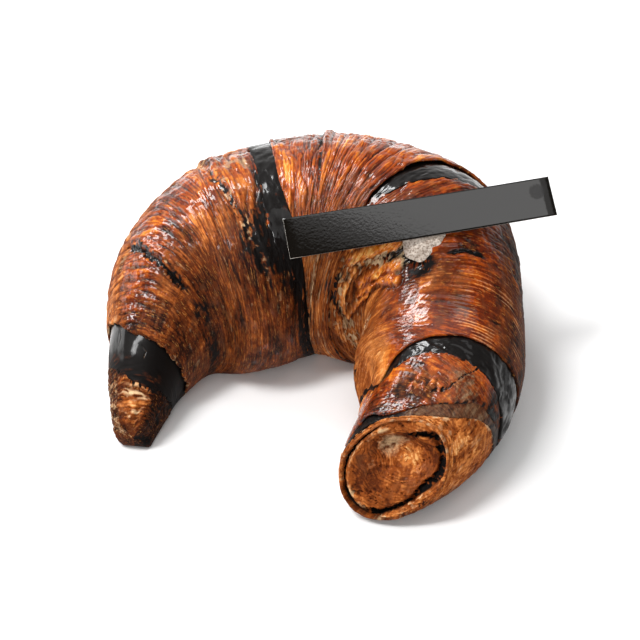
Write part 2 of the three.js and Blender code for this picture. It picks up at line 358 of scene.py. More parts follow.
# %% [markdown]
# ## Places on the roll
#
# Degrees run round the roll: 0 is its outer side, 90 its top and 180 the side of the bay. Along
# runs from 0 at the left tip to 1 at the cut end. So a range such as 100 to 135 degrees means from
# just past the top to where the bay's side begins. Soft steps, bells and bands of these two
# numbers say where something lies on the dough.

# %% A place and its noise
class Place:
    """Where a layer's points lie on the roll, and the noise that reads it."""

    def __init__(self, along, angle):
        self.along, self.angle = along, angle
        self.degrees = (np.degrees(angle) + 90) % 360 - 90
        self.mm = along * ROLL_LENGTH
        self.ring = GIRTH * np.cos(angle), GIRTH * np.sin(angle)

    def noise(self, pitch, reach, seed, warp=0):
        """Noise with features pitch mm wide along the roll and reach mm long round it."""
        return noise3((self.mm + warp) / pitch, self.ring[0] / reach, self.ring[1] / reach, seed)

    def flecks(self, size, seed):
        """Ragged noise without a direction, for burnt, torn and blistered spots."""
        a, b, c = self.mm / size, self.ring[0] / size, self.ring[1] / size
        a = a + 0.7 * noise3(a / 2, b / 2, c / 2, seed + 1)
        b = b + 0.7 * noise3(c / 2, a / 2, b / 2, seed + 2)
        return (noise3(0.8 * a + 0.6 * b, 0.8 * b - 0.6 * a, c, seed + 3)
                + 0.6 * noise3(1.1 * a - 1.6 * c, 1.9 * b, 1.1 * c + 1.6 * a, seed + 4))

    def blot(self, along, degrees, mm_long, degrees_wide):
        """A soft spot on the roll."""
        return np.exp(-((self.along - along) * ROLL_LENGTH / mm_long) ** 2
                      - ((self.degrees - degrees) / degrees_wide) ** 2)

    def past(self, line, metric=ROLL_LENGTH):
        """Millimetres past a line, towards the cut end, where the whole roll would measure metric mm."""
        return (self.along - line(self.angle)) * metric

# %% Steps, bells and bands
def band(value, low, high, soft):
    """1 between low and high, with soft ends."""
    return smooth(low - soft, low + soft, value) * (1 - smooth(high - soft, high + soft, value))


def bell(value, width, power=2):
    """1 where value is 0, falling away over width on both sides."""
    return np.exp(-(value / width) ** power)


def fade(distance, reach):
    """1 at an edge, dying out over reach mm away from it."""
    return np.exp(-distance / reach)


def away_from(place, points, girth=0.24, metric=ROLL_LENGTH):
    """Millimetres from a broken line through (degrees, along) points, where the roll measures
    girth mm for each degree round it."""
    nearest = np.full(place.along.shape, 99.0)
    for (d0, a0), (d1, a1) in zip(points, points[1:]):
        px, py = (place.degrees - d0) * girth, (place.along - a0) * metric
        qx, qy = (d1 - d0) * girth, (a1 - a0) * metric
        t = np.clip((px * qx + py * qy) / (qx * qx + qy * qy), 0, 1)
        nearest = np.minimum(nearest, np.hypot(px - t * qx, py - t * qy))
    return nearest

# %% [markdown]
# ## Lines round the roll
#
# Each turn of dough begins and ends on a line round the roll, drawn through a few points that were
# read off the picture. The back can't be seen, so there each line carries on its slope.

# %% Lines round the roll
def ring_line(*points):
    """A smooth closed line round the roll through (degrees, along) points."""
    degrees = np.array([p[0] for p in points], float)
    along = np.array([p[1] for p in points], float)
    fine = np.arange(0, 360, 2)
    values = np.interp(fine, degrees % 360, along, period=360)
    kernel = np.array([1, 3, 6, 8, 6, 3, 1]) / 28
    values = np.convolve(np.concatenate([values[-3:], values, values[:3]]), kernel, "valid")
    return lambda angle: np.interp(np.degrees(angle) % 360, fine, values, period=360)


TIP_BAND_FOOT = ring_line((-60, .082), (0, .076), (38, .055), (86, .032), (112, .029), (140, .035),
                          (167, .039), (220, .060))
TIP_BAND_LIP = ring_line((-60, .125), (20, .113), (74, .084), (109, .080), (142, .079), (183, .090),
                         (230, .11))
FRONT_BAND_LEFT = ring_line((-60, .345), (49, .351), (90, .346), (109, .346), (126, .349), (143, .372),
                            (155, .402), (166, .436), (200, .456), (250, .415))
FRONT_BAND_RIGHT = ring_line((-60, .378), (58, .372), (93, .371), (112, .381), (130, .400), (152, .432),
                             (176, .478), (210, .481), (250, .44))
BACK_BAND_LEFT = ring_line((-60, .62), (39, .600), (46, .583), (58, .567), (75, .562), (90, .557),
                           (109, .555), (138, .578), (171, .603), (200, .60), (250, .61))
BACK_BAND_RIGHT = ring_line((-60, .65), (39, .632), (61, .615), (72, .601), (85, .590), (93, .580),
                            (101, .575), (110, .570), (138, .592), (171, .617), (200, .615), (250, .63))
RIGHT_BAND_TOP = ring_line((-60, .80), (0, .809), (25, .811), (63, .815), (80, .819), (96, .839), (114, .889),
                           (128, .909), (138, .924), (150, .922), (170, .905), (200, .88), (240, .83))
RIGHT_BAND_FOOT = ring_line((-60, .845), (-15, .851), (0, .860), (29, .856), (50, .853), (66, .860),
                            (81, .868), (97, .890), (114, .907), (128, .922), (138, .930), (150, .926),
                            (170, .909), (200, .884), (240, .85))
LAST_TURN_TOP = ring_line((-60, .85), (-12, .857), (10, .868), (43, .892), (63, .922), (80, .942), (96, .966),
                          (112, .972), (138, .960), (180, .962), (240, .90))
LAST_TURN_FOOT = ring_line((-60, .855), (-12, .863), (10, .877), (40, .907), (65, .948), (83, .974),
                           (97, .984), (130, .978), (180, .975), (240, .91))

# %% [markdown]
# ## One sheet of dough
#
# A baker rolls a flat sheet and wraps it. Here a flat grid primitive is the sheet, and since no
# edit-mode operator can wrap it, code moves each vertex to its place on the roll. The sheet starts
# a little way under its neighbour's lip, swells back up to full height, and ends in a lip of its
# own that is rounded off and folded under. Its rows run from edge to edge, so the edges are crisp.
# What the surface carries, such as how dark it is baked, goes with it as attributes, which the
# materials read.

# %% A flat sheet and its wrapping
AROUND = 400              # columns round the roll


def sheet_grid(name, rows, columns):
    """A flat grid of rows by columns vertices, with the columns running round."""
    bpy.ops.object.select_all(action="DESELECT")
    bpy.ops.mesh.primitive_grid_add(x_subdivisions=columns - 1, y_subdivisions=rows - 1, size=1)
    sheet = bpy.context.object
    sheet.name = sheet.data.name = name
    return sheet


def store_vector(mesh, name, vectors):
    """Keeps one vector for each vertex, for the materials to read."""
    store = mesh.attributes.new(name, "FLOAT_VECTOR", "POINT")
    store.data.foreach_set("vector", vectors.reshape(-1).astype(np.float32))


def move_vertices(mesh, metres):
    """Puts the vertices at new places."""
    mesh.vertices.foreach_set("co", metres.reshape(-1).astype(np.float32))
    mesh.update()


def merge_doubles(reach):
    """Merges the vertices of the active piece that lie within reach metres of each other."""
    bpy.ops.object.mode_set(mode="EDIT")
    bpy.ops.mesh.select_all(action="SELECT")
    bpy.ops.mesh.remove_doubles(threshold=reach)
    bpy.ops.object.mode_set(mode="OBJECT")


def wrap_sheet(name, points, marks, ring):
    """A sheet whose vertices lie at points, which carries the marks, with its seam closed."""
    sheet = sheet_grid(name, *points.shape[:2])
    mesh = sheet.data
    for key, values in marks.items():
        store = mesh.attributes.new(key, "FLOAT", "POINT")
        on_grid = np.broadcast_to(values, points.shape[:2])
        store.data.foreach_set("value", on_grid.reshape(-1).astype(np.float32))
    store_vector(mesh, "roll", np.stack(ring, -1))
    move_vertices(mesh, to_metres(points))
    merge_doubles(1e-6)
    bpy.ops.object.shade_smooth()
    print(f"{name}: {len(mesh.polygons) * 2} triangles")
    return sheet


# %% [markdown]
# ## Tucks and lips
#
# A turn's far edge is a lip: it is rounded over half a millimetre and then folded back under
# itself, so that it throws a real shadow. Every row that is folded or tucked under is painted dark
# as well, as the shade it lies in. Its near edge is tucked below its neighbour's lip, so no gap
# opens between them. The rows for both come on top of the sheet's own.

# %% One turn of dough
ROW = 0.20                # millimetres between rows along the centre line, at the finest
FEWEST_ROWS, MOST_ROWS = 14, 235
LIP_ROUND = 0.55          # mm over which a lip is rounded
LIP_SHARE = 0.8           # how much of that rounding is taken off its height
LIP_FOLDS = ((0.0, 0.35), (0.15, 0.75), (0.9, 1.15), (2.2, 1.35))   # (back under, down) in mm
TUCK_ROWS = ((2.4, 0.55), (1.5, 0.4), (0.7, 0.15))                  # (back under, further down)
LEAST_METRIC = 40         # mm for one whole length of the roll, where the bay's side is tightest


def waist(place):
    """How far the roll is pinched in, in mm, on the bay's side just before the cut end."""
    return 4.0 * place.blot(.905, 172, 8, 26)


def rounded_off(distance):
    """How much lower, in mm, a lip is at a distance from its edge."""
    near_edge = np.clip(1 - distance / LIP_ROUND, 0, 1)
    return LIP_ROUND * (1 - np.sqrt(1 - near_edge**2)) * LIP_SHARE


def extra_rows(near_side, middle, far_side):
    """One column of row values, with those of the tuck or lip before and after the sheet's own."""
    return np.concatenate([near_side, middle, far_side])[:, None]


def dough_layer(name, near, far, skin, drop=0, reach=8, ragged=0.3, flake=3, seed=1, both_lips=False,
                merged=None):
    """One turn of dough from the line near, where it comes out from under its neighbour by a drop
    in mm, to the line far, where it ends in a lip. skin gives relief in mm and the marks. Between
    the merged degrees it doesn't drop, because the turns are baked together there."""
    every_way = np.linspace(0, 2 * np.pi, 90)
    span = np.abs(far(every_way) - near(every_way)).max() * ROLL_LENGTH
    rows = int(np.clip(span / ROW, FEWEST_ROWS, MOST_ROWS))
    towards_end = 1 if far(0) > near(0) else -1
    angle = np.linspace(0, 2 * np.pi, AROUND + 1)[::towards_end] - np.pi / 2
    before = tuple(reversed(LIP_FOLDS)) if both_lips else TUCK_ROWS
    after = LIP_FOLDS
    share = extra_rows(np.zeros(len(before)), np.linspace(0, 1, rows), np.ones(len(after)))
    back_mm = extra_rows([b for b, _ in before], np.zeros(rows), [b for b, _ in after])
    down_mm = extra_rows([d for _, d in before], np.zeros(rows), [d for _, d in after])
    at_far = extra_rows(np.zeros(len(before)), np.zeros(rows), np.ones(len(after)))

    # the far edge is torn a little, and the rows spread evenly between the two edges
    turn = np.broadcast_to(angle[None], (len(share), len(angle)))
    edge = Place(np.broadcast_to(far(angle)[None], turn.shape), turn)
    torn = ragged * (edge.noise(50, flake, seed) + 0.6 * edge.noise(50, flake / 2.6, seed + 1))
    _, _, metric_far = roll_frame(edge.along, turn)
    far_line = edge.along + towards_end * torn / np.maximum(metric_far, LEAST_METRIC)
    near_line = np.broadcast_to(near(angle)[None], turn.shape)
    along = near_line + (far_line - near_line) * share
    _, _, metric = roll_frame(along, turn)
    metric = np.maximum(metric, LEAST_METRIC)
    back_under = np.where(at_far > 0, -back_mm, back_mm) if both_lips else -back_mm
    along = np.clip(along + towards_end * back_under / metric, 0, 1)

    # the skin's relief stands on the roll, less what is tucked, rounded off or folded under
    points, normal, _ = roll_frame(along, turn)
    place = Place(along, turn)
    from_near = np.abs(along - near_line) * metric
    to_far = np.abs(far_line - along) * metric
    relief, marks = skin(place, from_near, to_far)
    sunk = np.zeros_like(along)
    if both_lips:
        sunk += rounded_off(to_far)
        sunk += rounded_off(from_near)
    else:
        apart = 1 - band(place.degrees, *merged, 10) if merged else 1
        sunk += drop * fade(from_near, reach) * apart
        sunk += rounded_off(to_far)
    folded = np.broadcast_to(down_mm, along.shape)
    clear = smooth(0.4, 7, points[..., 2])
    shift_out = (relief - sunk - waist(place)) * clear - folded * np.maximum(clear, 0.25)
    points = points + normal * shift_out[..., None]
    points[..., 2] = np.maximum(points[..., 2], np.where(folded > 0, 0.5, 0.0))
    # what is tucked or folded under a lip is marked so that it is painted dark, as the shade it lies in
    marks["under"] = np.clip(folded * 1.5, 0, 1)
    return wrap_sheet(name, points, marks, (place.mm, *place.ring))


# %% [markdown]
# ## Threads of leaf edges
#
# Laminated dough bakes into hundreds of leaves, and their edges run round the roll like threads.
# Bump alone would look printed on, so the threads are relief in the mesh: a wandering row of
# rounded profiles at two pitches, each thread with a shade and height of its own, and broader
# clumps and folds over them.

# %% Threads, leaves and folds
GROOVE = 0.20             # half the width of the groove between two threads, in mm


def threads(place, pitch, seed, wander=1.0, evenness=0.0):
    """The edges of many leaves lying side by side like threads. Gives their rounded profile from
    0 to 1, the thin groove between them, and each thread's own number from -1 to 1."""
    warp = wander * (2.2 * place.noise(25, 30, seed) + 0.9 * place.noise(9, 15, seed + 1)
                     + 0.35 * place.noise(3.5, 8, seed + 2))
    phase = (place.mm + warp) / pitch + (1 - evenness) * 0.8 * place.noise(2.2 * pitch, 10, seed + 3)
    index = np.floor(phase)
    within = phase - index
    own = noise3(index * 1.37, place.ring[0] / 9, place.ring[1] / 9, seed + 4)
    own = own + 0.6 * noise3(index * 2.11, place.ring[0] / 3, place.ring[1] / 3, seed + 5)
    groove = bell(np.minimum(within, 1 - within) * pitch, GROOVE)
    return np.sqrt(np.clip(4 * within * (1 - within), 0, 1)), groove, own


def leafy(place, seed, pitch=1.5, evenness=0.0, wander=1.0, height=0.32, clump=0.35, groove_shade=0.12):
    """Relief in mm and change in toast of threaded crust, with painted shade in the grooves between threads.
    """
    profile, groove, own = threads(place, pitch, seed, wander, evenness)
    slim, slim_groove, slim_own = threads(place, pitch * 0.47, seed + 20, wander, evenness)
    clumps = 0.8 * place.noise(2.8, 5.0, seed + 10) + 0.5 * place.flecks(1.9, seed + 11)
    broad = place.noise(6, 26, seed + 12)
    patches = place.flecks(7, seed + 14)
    blisters = place.flecks(1.5, seed + 15)
    relief = (height * (profile * (0.7 + 0.5 * own) - 0.5) + 0.34 * height * slim * (0.8 + 0.4 * slim_own)
              + clump * clumps + 0.22 * broad + 0.5 * place.noise(12, 17, seed + 13))
    # the grooves between threads are painted darker here, as the shade in them, or paler where the amount is
    # below zero
    toast = (0.12 * own + 0.11 * slim_own - groove_shade * (groove + 0.5 * slim_groove)
             + 0.10 * clumps + 0.08 * broad + 0.15 * patches + 0.10 * blisters)
    return relief, toast


def folds(place, seed, pitch, where):
    """Broad folds across a crust: relief in mm, change in toast with painted shade towards the gaps between
    them, and those gaps.
    """
    fold, _, own = threads(place, pitch, seed, 0.7, 0.3)
    worn = 0.75 + 0.5 * place.noise(5, 9, seed + 30)
    gaps = bell(fold, 0.5) * where * worn
    relief = where * worn * (fold - 0.7) * (0.9 + 0.6 * own) - 0.25 * gaps
    # toast is darker towards the gaps between folds, as painted shade, and each fold has a tone of its own
    return relief, where * (0.14 * (fold - 0.7) + 0.12 * own) - 0.32 * gaps, gaps


def base_marks(toast, syrup, sesame=0.0, crumb=0.0):
    """The marks that a skin hands to the materials, kept between 0 and 1."""
    marks = {"toast": toast, "syrup": syrup, "sesame": sesame, "crumb": crumb}
    return {key: np.clip(value, 0, 1) for key, value in marks.items()}


# %% [markdown]
# ## Skin of the left horn
#
# A skin function gives a layer its relief and its marks: toast (0 is nearly burnt, 1 is pale gold),
# sesame (black dough), crumb (pale torn flakes) and syrup (how thick the glaze lies). In a few
# places toast and crumb also carry painted shade and painted glints, and sesame a painted shadow.
# The left horn's back is weathered into broad folds, a slit shows where a turn ended, and beside the
# front band the black dough shows through in burnt flecks.

# %% The left horn's crust
BODY_METRIC = 190         # mm for one whole length of the roll, on the crown and the bay's side
SLIT = ring_line((-60, .19), (66, .177), (82, .169), (96, .164), (112, .156), (134, .154), (167, .147),
                 (208, .164))
ASH_RIDGE = ring_line((-60, .30), (61, .301), (95, .307), (124, .323), (170, .345))


def burnt_slit(place, flecks, streaky, mottle):
    """The slit where a turn ends: relief and sesame, the burnt smear it runs on as, and its crumbs."""
    slit = place.past(SLIT, BODY_METRIC) + 0.4 * flecks
    reach = band(place.degrees, 56, 122, 9)
    relief = reach * (0.7 * bell(slit - 1.4, 1.3) - 1.5 * bell(slit + 0.3, 0.7))
    sesame = reach * (bell(slit + 0.3, 0.5)
                      + bell(slit - 0.3, 1.3) * smooth(-0.6, 0.8, flecks + 0.6 * streaky))
    sesame += reach * 0.45 * bell(slit - 0.6, 1.8) * smooth(0.0, 0.5, flecks)
    smear = band(place.degrees, 134, 216, 14) * bell(slit - 1.0, 3.4)
    sesame += smear * 0.75 * smooth(-1.3, 1.0, 0.6 * mottle + 0.5 * flecks + 0.9 * streaky)
    crumb = 0.3 * reach * bell(slit, 2.0) * smooth(0.2, 0.7, -flecks)
    return relief, sesame, smear, crumb


def left_crust_skin(place, from_near, to_far):
    """The weathered crust between the front band and the tip's band."""
    crown = bell(place.degrees - 78, 38)
    front = smooth(100, 135, place.degrees)
    outer = smooth(64, 38, place.degrees) * smooth(-15, 22, place.degrees)
    mottle = place.flecks(2.4, 41)
    flecks = place.flecks(1.1, 47)
    streaky = place.noise(1.1, 5, 42) + 0.6 * place.noise(0.6, 3, 43)
    relief, toast = leafy(place, 11, pitch=1.3, height=0.27, clump=0.28, groove_shade=0.22)
    relief *= 0.50 + 0.60 * crown
    fold_relief, fold_toast_and_shade, _ = folds(place, 31, 3.2, 1 - smooth(96, 125, place.degrees))
    relief += 0.70 * fold_relief
    toast = (0.57 + toast + 0.9 * fold_toast_and_shade - 0.15 * front + 0.12 * outer
             - 0.10 * fade(to_far, 10) * (1 - outer))
    slit_relief, sesame, smear, slit_crumb = burnt_slit(place, flecks, streaky, mottle)
    relief += slit_relief
    toast -= 0.14 * smear

    # the next turn's edge is a pale ridge with grey flecks under it
    ridge_on = band(place.degrees, 24, 150, 14)
    ridge = place.past(ASH_RIDGE, BODY_METRIC) + 0.5 * mottle
    ridge_height = 0.6 + 0.6 * smooth(80, 50, place.degrees)
    relief += ridge_on * (ridge_height * bell(ridge - 1.4, 1.5) - 0.8 * bell(ridge + 0.7, 1.0))
    ash = ridge_on * bell(ridge + 0.6, 1.8)
    sesame += ash * smooth(-0.3, 0.6, flecks + 0.5 * streaky) * (0.9 - 0.5 * front)

    # beside the front band the black dough shows through, more so further down
    width = 1.0 + 10.5 * band(place.degrees, 108, 166, 14) + 4.0 * band(place.degrees, 166, 216, 12)
    beside = bell(from_near, width, 1.5)
    burnt = smooth(-0.9, 0.7, 0.5 * mottle + 0.5 * flecks + 0.8 * streaky + 1.0 * beside - 0.4)
    sesame += beside * burnt * (0.6 + 0.6 * smooth(85, 120, place.degrees))
    sesame += 0.3 * front * smooth(0.55, 0.95, streaky + 0.5 * mottle)
    toast -= 0.30 * beside

    # pale fibres fray at the lip, on the ridge and at the slit
    crumb = 0.45 * fade(to_far, 1.1) * smooth(0.0, 0.6, flecks)
    crumb += 0.5 * band(place.along, .305, .345, .012) * crown * smooth(-0.1, 0.5, mottle)
    crumb += 0.45 * ash * smooth(0.1, 0.6, -flecks) + slit_crumb
    crumb += 0.35 * smooth(0.35, 0.85, place.noise(0.8, 4, 46) - 0.3 * mottle) + 0.14 * outer
    wet = bell(place.degrees - 74, 22)
    syrup = 0.20 + 0.75 * wet - 0.8 * fade(to_far, 8) + 0.25 * mottle - 0.3 * outer
    return relief, base_marks(toast, syrup, sesame, crumb)


# %% [markdown]
# ## Skin of the belly
#
# The belly is the fattest turn and carries the boldest folds. It is palest and glossiest on the
# crown, and khaki and dull where it leans into the bay.

# %% The belly's crust
BELLY_RIDGE = ring_line((-60, .43), (68, .432), (91, .441), (105, .448), (180, .50))


def belly_skin(place, from_near, to_far):
    """The crust between the front band and the back band."""
    crown = bell(place.degrees - 80, 36)
    front = smooth(108, 140, place.degrees)
    mottle = place.flecks(2.4, 51)
    flecks = place.flecks(1.1, 54)
    streaky = place.noise(1.2, 6, 52) + 0.6 * place.noise(0.6, 3, 53)
    relief, toast = leafy(place, 12, pitch=1.6, height=0.42, clump=0.42, wander=0.8, groove_shade=0.25)
    relief *= 1 - 0.45 * front
    fold_relief, fold_toast_and_shade, gaps = folds(place, 57, 4.0, bell(place.degrees - 84, 34, 4))
    relief += 0.90 * fold_relief
    toast += fold_toast_and_shade

    # one turn's edge stands up on the crown, with black dough in the gap beside it
    ridge_on = band(place.degrees, 22, 112, 10)
    ridge = place.past(BELLY_RIDGE, BODY_METRIC) + 0.3 * flecks
    ridge_height = 0.7 + 0.5 * smooth(80, 50, place.degrees)
    relief += ridge_on * (ridge_height * bell(ridge - 1.0, 1.2) - 0.8 * bell(ridge + 0.5, 0.7))
    sesame = ridge_on * bell(ridge + 0.4, 0.9) * 0.9 * smooth(-0.6, 0.3, flecks)
    sesame += 0.25 * gaps * smooth(-0.2, 0.8, flecks + 0.5 * streaky)

    # towards the bay the crust is khaki, streaked with black near both its edges
    khaki = front * bell(to_far - 9, 9)
    sesame += front * (0.2 + 0.8 * fade(to_far, 4)) * smooth(0.1, 0.8, 0.7 * streaky + 0.6 * mottle)
    sesame += front * fade(from_near, 1.4) * 0.6 * smooth(-0.6, 0.2, flecks)
    toast = np.minimum(0.50 + toast - 0.09 * front + 0.20 * khaki + 0.16 * crown, 0.90)
    syrup = 0.14 + 0.8 * crown + 0.2 * mottle
    crumb = 0.28 * khaki * (1 + 0.5 * flecks) + 0.30 * front * smooth(0.4, 0.9, streaky)
    return relief, base_marks(toast, syrup, sesame, crumb)


# %% [markdown]
# ## Skin of the right horn
#
# This turn is the glossiest, combed into fine parallel lines. Under the icing the crust has fallen
# in, and from there a strip of torn leaves runs down the bay's side: loose golden leaves, dark gaps
# between them, and frayed pale fluff beside the dab. The leaves are drawn one by one as short
# lines, because noise alone gives blotches and no leaves.

# %% Torn leaves
HORN_METRIC, HORN_GIRTH = 165, 0.45      # mm for one length of the roll, and for one degree, there
STRIP_METRIC = 150                       # and deeper in the bay, where the strip runs
TORN_STRIP = ring_line((-60, .70), (100, .712), (116, .695), (130, .667), (147, .626), (160, .618),
                       (176, .632), (200, .66))
TORN_LEAVES = (
    # (degrees, along) down the middle of each loose leaf, half its width in mm
    (((122, .678), (136, .652), (145, .618)), 1.9),
    (((126, .716), (143, .697), (157, .668)), 1.8),
    (((126, .738), (150, .708), (165, .674)), 1.2),
    (((160, .700), (180, .655)), 1.0),
    (((150, .640), (168, .634), (178, .645)), 0.8),
)
TORN_GAPS = (
    # (degrees, along) down the middle of each dark gap, half its width in mm
    (((117, .708), (136, .678), (152, .648)), 1.3),
    (((145, .602), (160, .614), (176, .626), (182, .655)), 2.6),
)


def torn_leaves(place, mottle, flecks, shreds):
    """Where the loose leaves lie, and where the dark gaps beside and between them do."""
    leaves, gaps = 0, 0
    for points, half_width in TORN_LEAVES:
        away = away_from(place, points, HORN_GIRTH, HORN_METRIC) + 0.4 * mottle + 0.3 * flecks
        leaves = np.maximum(leaves, bell(np.maximum(away, 0), half_width, 4))
        gaps = np.maximum(gaps, bell(away - half_width - 0.7, 0.6))
    gaps = gaps * smooth(-0.6, 0.3, mottle) * 0.8
    for points, half_width in TORN_GAPS:
        away = away_from(place, points, HORN_GIRTH, HORN_METRIC) + 0.8 * mottle
        gaps = np.maximum(gaps, bell(away, half_width) * smooth(-0.8, 0.5, flecks + 0.5 * shreds))
    return leaves, gaps * (1 - leaves)


# %% The right horn's crust
OUTER_SLIT = ring_line((-60, .72), (69, .716), (78, .714), (88, .718))
OUTER_METRIC = 230        # mm for one whole length of the roll, on the outer side of the horn


def right_crust_skin(place, from_near, to_far):
    """The combed and glazed crust between the back band and the right band."""
    inner = smooth(114, 138, place.degrees)
    crown = bell(place.degrees - 95, 40)
    mottle = place.flecks(2.6, 61)
    flecks = place.flecks(1.2, 64)
    shreds = place.noise(0.9, 3.0, 62) + 0.5 * place.flecks(1.0, 63)

    # fine parallel threads below the icing, rough leaves above it and on the bay's side
    relief, toast = leafy(place, 13, pitch=1.0, evenness=0.75, wander=0.5, height=0.13,
                          clump=0.08, groove_shade=0.0)
    _, thread_edges, _ = threads(place, 1.0, 13, 0.5, 0.75)
    rough, rough_toast = leafy(place, 14, pitch=1.5, height=0.30, clump=0.30)
    upper = np.clip(1 - smooth(.70, .76, place.along) + 0.5 * inner, 0, 1)
    relief = relief * (1 - upper) + rough * upper
    # the thread edges are painted pale on the top and outer side, partly pale leaf edges and partly painted
    # glints, and darker towards the bay, as painted shade in the grooves
    edge_glints_and_shade = (1 - upper) * smooth(0.15, 0.8, thread_edges * (0.6 + 1.3 * place.noise(3, 7, 66)))
    edge_glints_and_shade = edge_glints_and_shade * smooth(-10, 32, place.degrees)
    toast = (0.32 - 0.04 * smooth(112, 92, place.degrees) + toast * (1 - upper)
             + rough_toast * upper + 0.03 * upper)
    toast += edge_glints_and_shade * np.where(place.degrees < 108, 0.30, -0.26)
    relief += edge_glints_and_shade * np.where(place.degrees < 108, 0.05, -0.12)
    toast += 0.25 * inner + 0.06 * fade(to_far, 20) + 0.05 * crown - 0.14 * smooth(60, 25, place.degrees)
    toast += 0.10 * inner * smooth(.74, .82, place.along)

    # under the icing the crust has fallen in, and the torn strip runs down from there
    hollow = place.blot(.729, 108, 4.0, 11)
    side_hollow = place.blot(.705, 126, 5.0, 9)
    relief -= 2.4 * hollow + 1.0 * side_hollow
    strip = place.past(TORN_STRIP, STRIP_METRIC) + 0.9 * mottle
    strip_wide = 4.0 + 2.6 * band(place.degrees, 140, 184, 15)
    torn = band(place.degrees, 108, 204, 10) * bell(strip, strip_wide)
    relief += torn * (0.45 * shreds + 0.3 * mottle - 0.4)
    sesame = 1.3 * hollow * smooth(-1.0, -0.2, flecks) + 0.6 * side_hollow * smooth(-0.5, 0.2, flecks)
    sesame += torn * smooth(-0.6, 1.2, 0.7 * mottle + 0.5 * flecks) * 0.6
    toast += torn * (0.16 + 0.14 * smooth(0.0, 0.7, mottle) - 0.25 * smooth(0.1, 0.8, -mottle))
    leaves, gaps = torn_leaves(place, mottle, flecks, shreds)
    relief += 1.2 * leaves * (1 + 0.3 * flecks) - 0.8 * gaps
    # the gaps between the loose leaves hold black dough and are painted darker still, as the shade in them
    toast = (toast - 0.34 * gaps) * (1 - leaves) + leaves * (0.84 + 0.14 * flecks + 0.6 * rough_toast)
    sesame = sesame * (1 - 0.9 * leaves) + 0.38 * gaps

    # frayed fluff beside the icing, pale crumbs along the strip, and pale thread edges that are partly
    # painted glints
    frayed = np.minimum(place.blot(.704, 125, 5.5, 9) + place.blot(.684, 136, 4.0, 8), 1) * (1 - 0.8 * leaves)
    sesame += 0.7 * frayed * smooth(0.1, 0.6, -flecks)
    relief += 0.7 * frayed * flecks
    crumb = 0.8 * torn * (1 - leaves) * smooth(-0.3, 0.8, flecks - 0.6 * mottle)
    crumb += 1.1 * frayed * smooth(-0.4, 0.2, flecks + 0.3 * mottle)
    crumb += 0.55 * side_hollow * smooth(0.0, 0.5, -flecks)
    crumb += 0.9 * place.blot(.764, 158, 3.4, 6) * smooth(-0.5, 0.1, flecks)
    crumb += 0.8 * place.blot(.704, 119, 3.0, 4) + 0.30 * inner * smooth(0.2, 0.8, shreds)
    crumb += 0.48 * edge_glints_and_shade * smooth(112, 96, place.degrees)

    # burnt spots at the foot of the bay, a slit on the outer side, and the dark edge above
    black_edge = band(place.degrees, 160, 205, 10) * place.blot(.825, 180, 4, 16)
    sesame += black_edge * smooth(-0.2, 0.4, mottle) * 1.2
    bay_foot = band(place.degrees, 170, 205, 9) * band(place.along, .70, .84, .02)
    sesame += 0.7 * bay_foot * smooth(0.0, 0.8, mottle + 0.5 * shreds)
    slit = place.past(OUTER_SLIT, OUTER_METRIC) + 0.3 * flecks
    slit_on = band(place.degrees, 64, 90, 5)
    relief -= slit_on * 1.1 * bell(slit, 0.7)
    sesame += slit_on * 1.2 * bell(slit, 0.7)
    sesame += fade(from_near, 1.0) * 0.4 * smooth(110, 90, place.degrees)

    syrup = 0.34 + 0.80 * crown - 0.30 * inner - 0.25 * torn + 0.12 * mottle + 0.6 * leaves + 0.4 * frayed
    syrup -= place.blot(.744, 96, 7, 18) + 0.3 * smooth(62, 36, place.degrees)
    return relief, base_marks(toast, syrup, sesame, crumb)


# %% [markdown]
# ## Skins of the shoulder and the last turn
#
# Below the right band the horn is small and drowned in syrup, which has dried to a red lump near
# the bay, a grey film on the outer side and a ragged trail where it broke away. The last turn
# beyond it was never glazed: it is dull, pitted and pale.

# %% The glazed shoulder
CRACK = ring_line((-60, .90), (54, .845), (62, .868), (66, .893), (72, .915), (90, .93))
SHOULDER_METRIC = 220     # mm for one whole length of the roll, on the shoulder


def shoulder_skin(place, _, to_far):
    """The syrup-drowned turn between the right band and the last turn."""
    relief, toast = leafy(place, 15, pitch=1.3, evenness=0.6, wander=0.5, height=0.20,
                          clump=0.14, groove_shade=-0.1)
    outer = smooth(86, 70, place.degrees)
    dry_side = smooth(46, 28, place.degrees)
    relief = relief * (1 - 0.5 * outer)
    mottle = place.flecks(2.2, 71)
    bits = place.flecks(1.1, 73)
    lump = place.blot(.958, 122, 4.8, 26)
    relief += 0.9 * lump + 0.03 * bits
    toast = (0.33 + 1.3 * toast * (1 - 0.3 * outer) - 0.24 * lump + 0.10 * smooth(135, 160, place.degrees)
             + 0.06 * outer * mottle)

    # between the red lump and the smooth outer side the glaze has broken away in a ragged trail
    trail = np.clip(place.blot(.922, 90, 4.2, 18) + 0.9 * place.blot(.938, 108, 3.2, 12), 0, 1)
    broken = trail * smooth(-0.4, 0.25, mottle + 0.4 * bits + 0.3)
    sesame = broken * smooth(-0.5, 0.7, bits + 0.4 * mottle) * 0.6
    sesame += fade(to_far, 1.3) * smooth(-0.3, 0.5, mottle) * 0.7

    # the film of dried syrup and the crack across it
    film = place.blot(.892, 60, 10, 22) * smooth(-1.3, -0.2, mottle)
    cracked = band(place.degrees, 50, 84, 4) * bell(place.past(CRACK, SHOULDER_METRIC) + 0.8 * bits, 0.35)
    cracked = cracked * smooth(-0.5, 0.1, mottle + 0.3)
    sesame += 0.8 * cracked + 0.50 * film * (0.9 + 0.3 * bits) + 0.75 * dry_side * (0.9 + 0.3 * mottle)
    relief -= 0.4 * cracked + 0.35 * broken
    toast -= 0.16 * broken
    crumb = 0.5 * broken * smooth(0.1, 0.9, -bits) + 0.38 * film * (1 + 0.5 * bits)
    syrup = 0.85 - 0.45 * film - 0.95 * broken + 0.3 * lump + 0.15 * mottle - 0.5 * dry_side
    return relief, base_marks(toast, syrup, sesame, crumb)


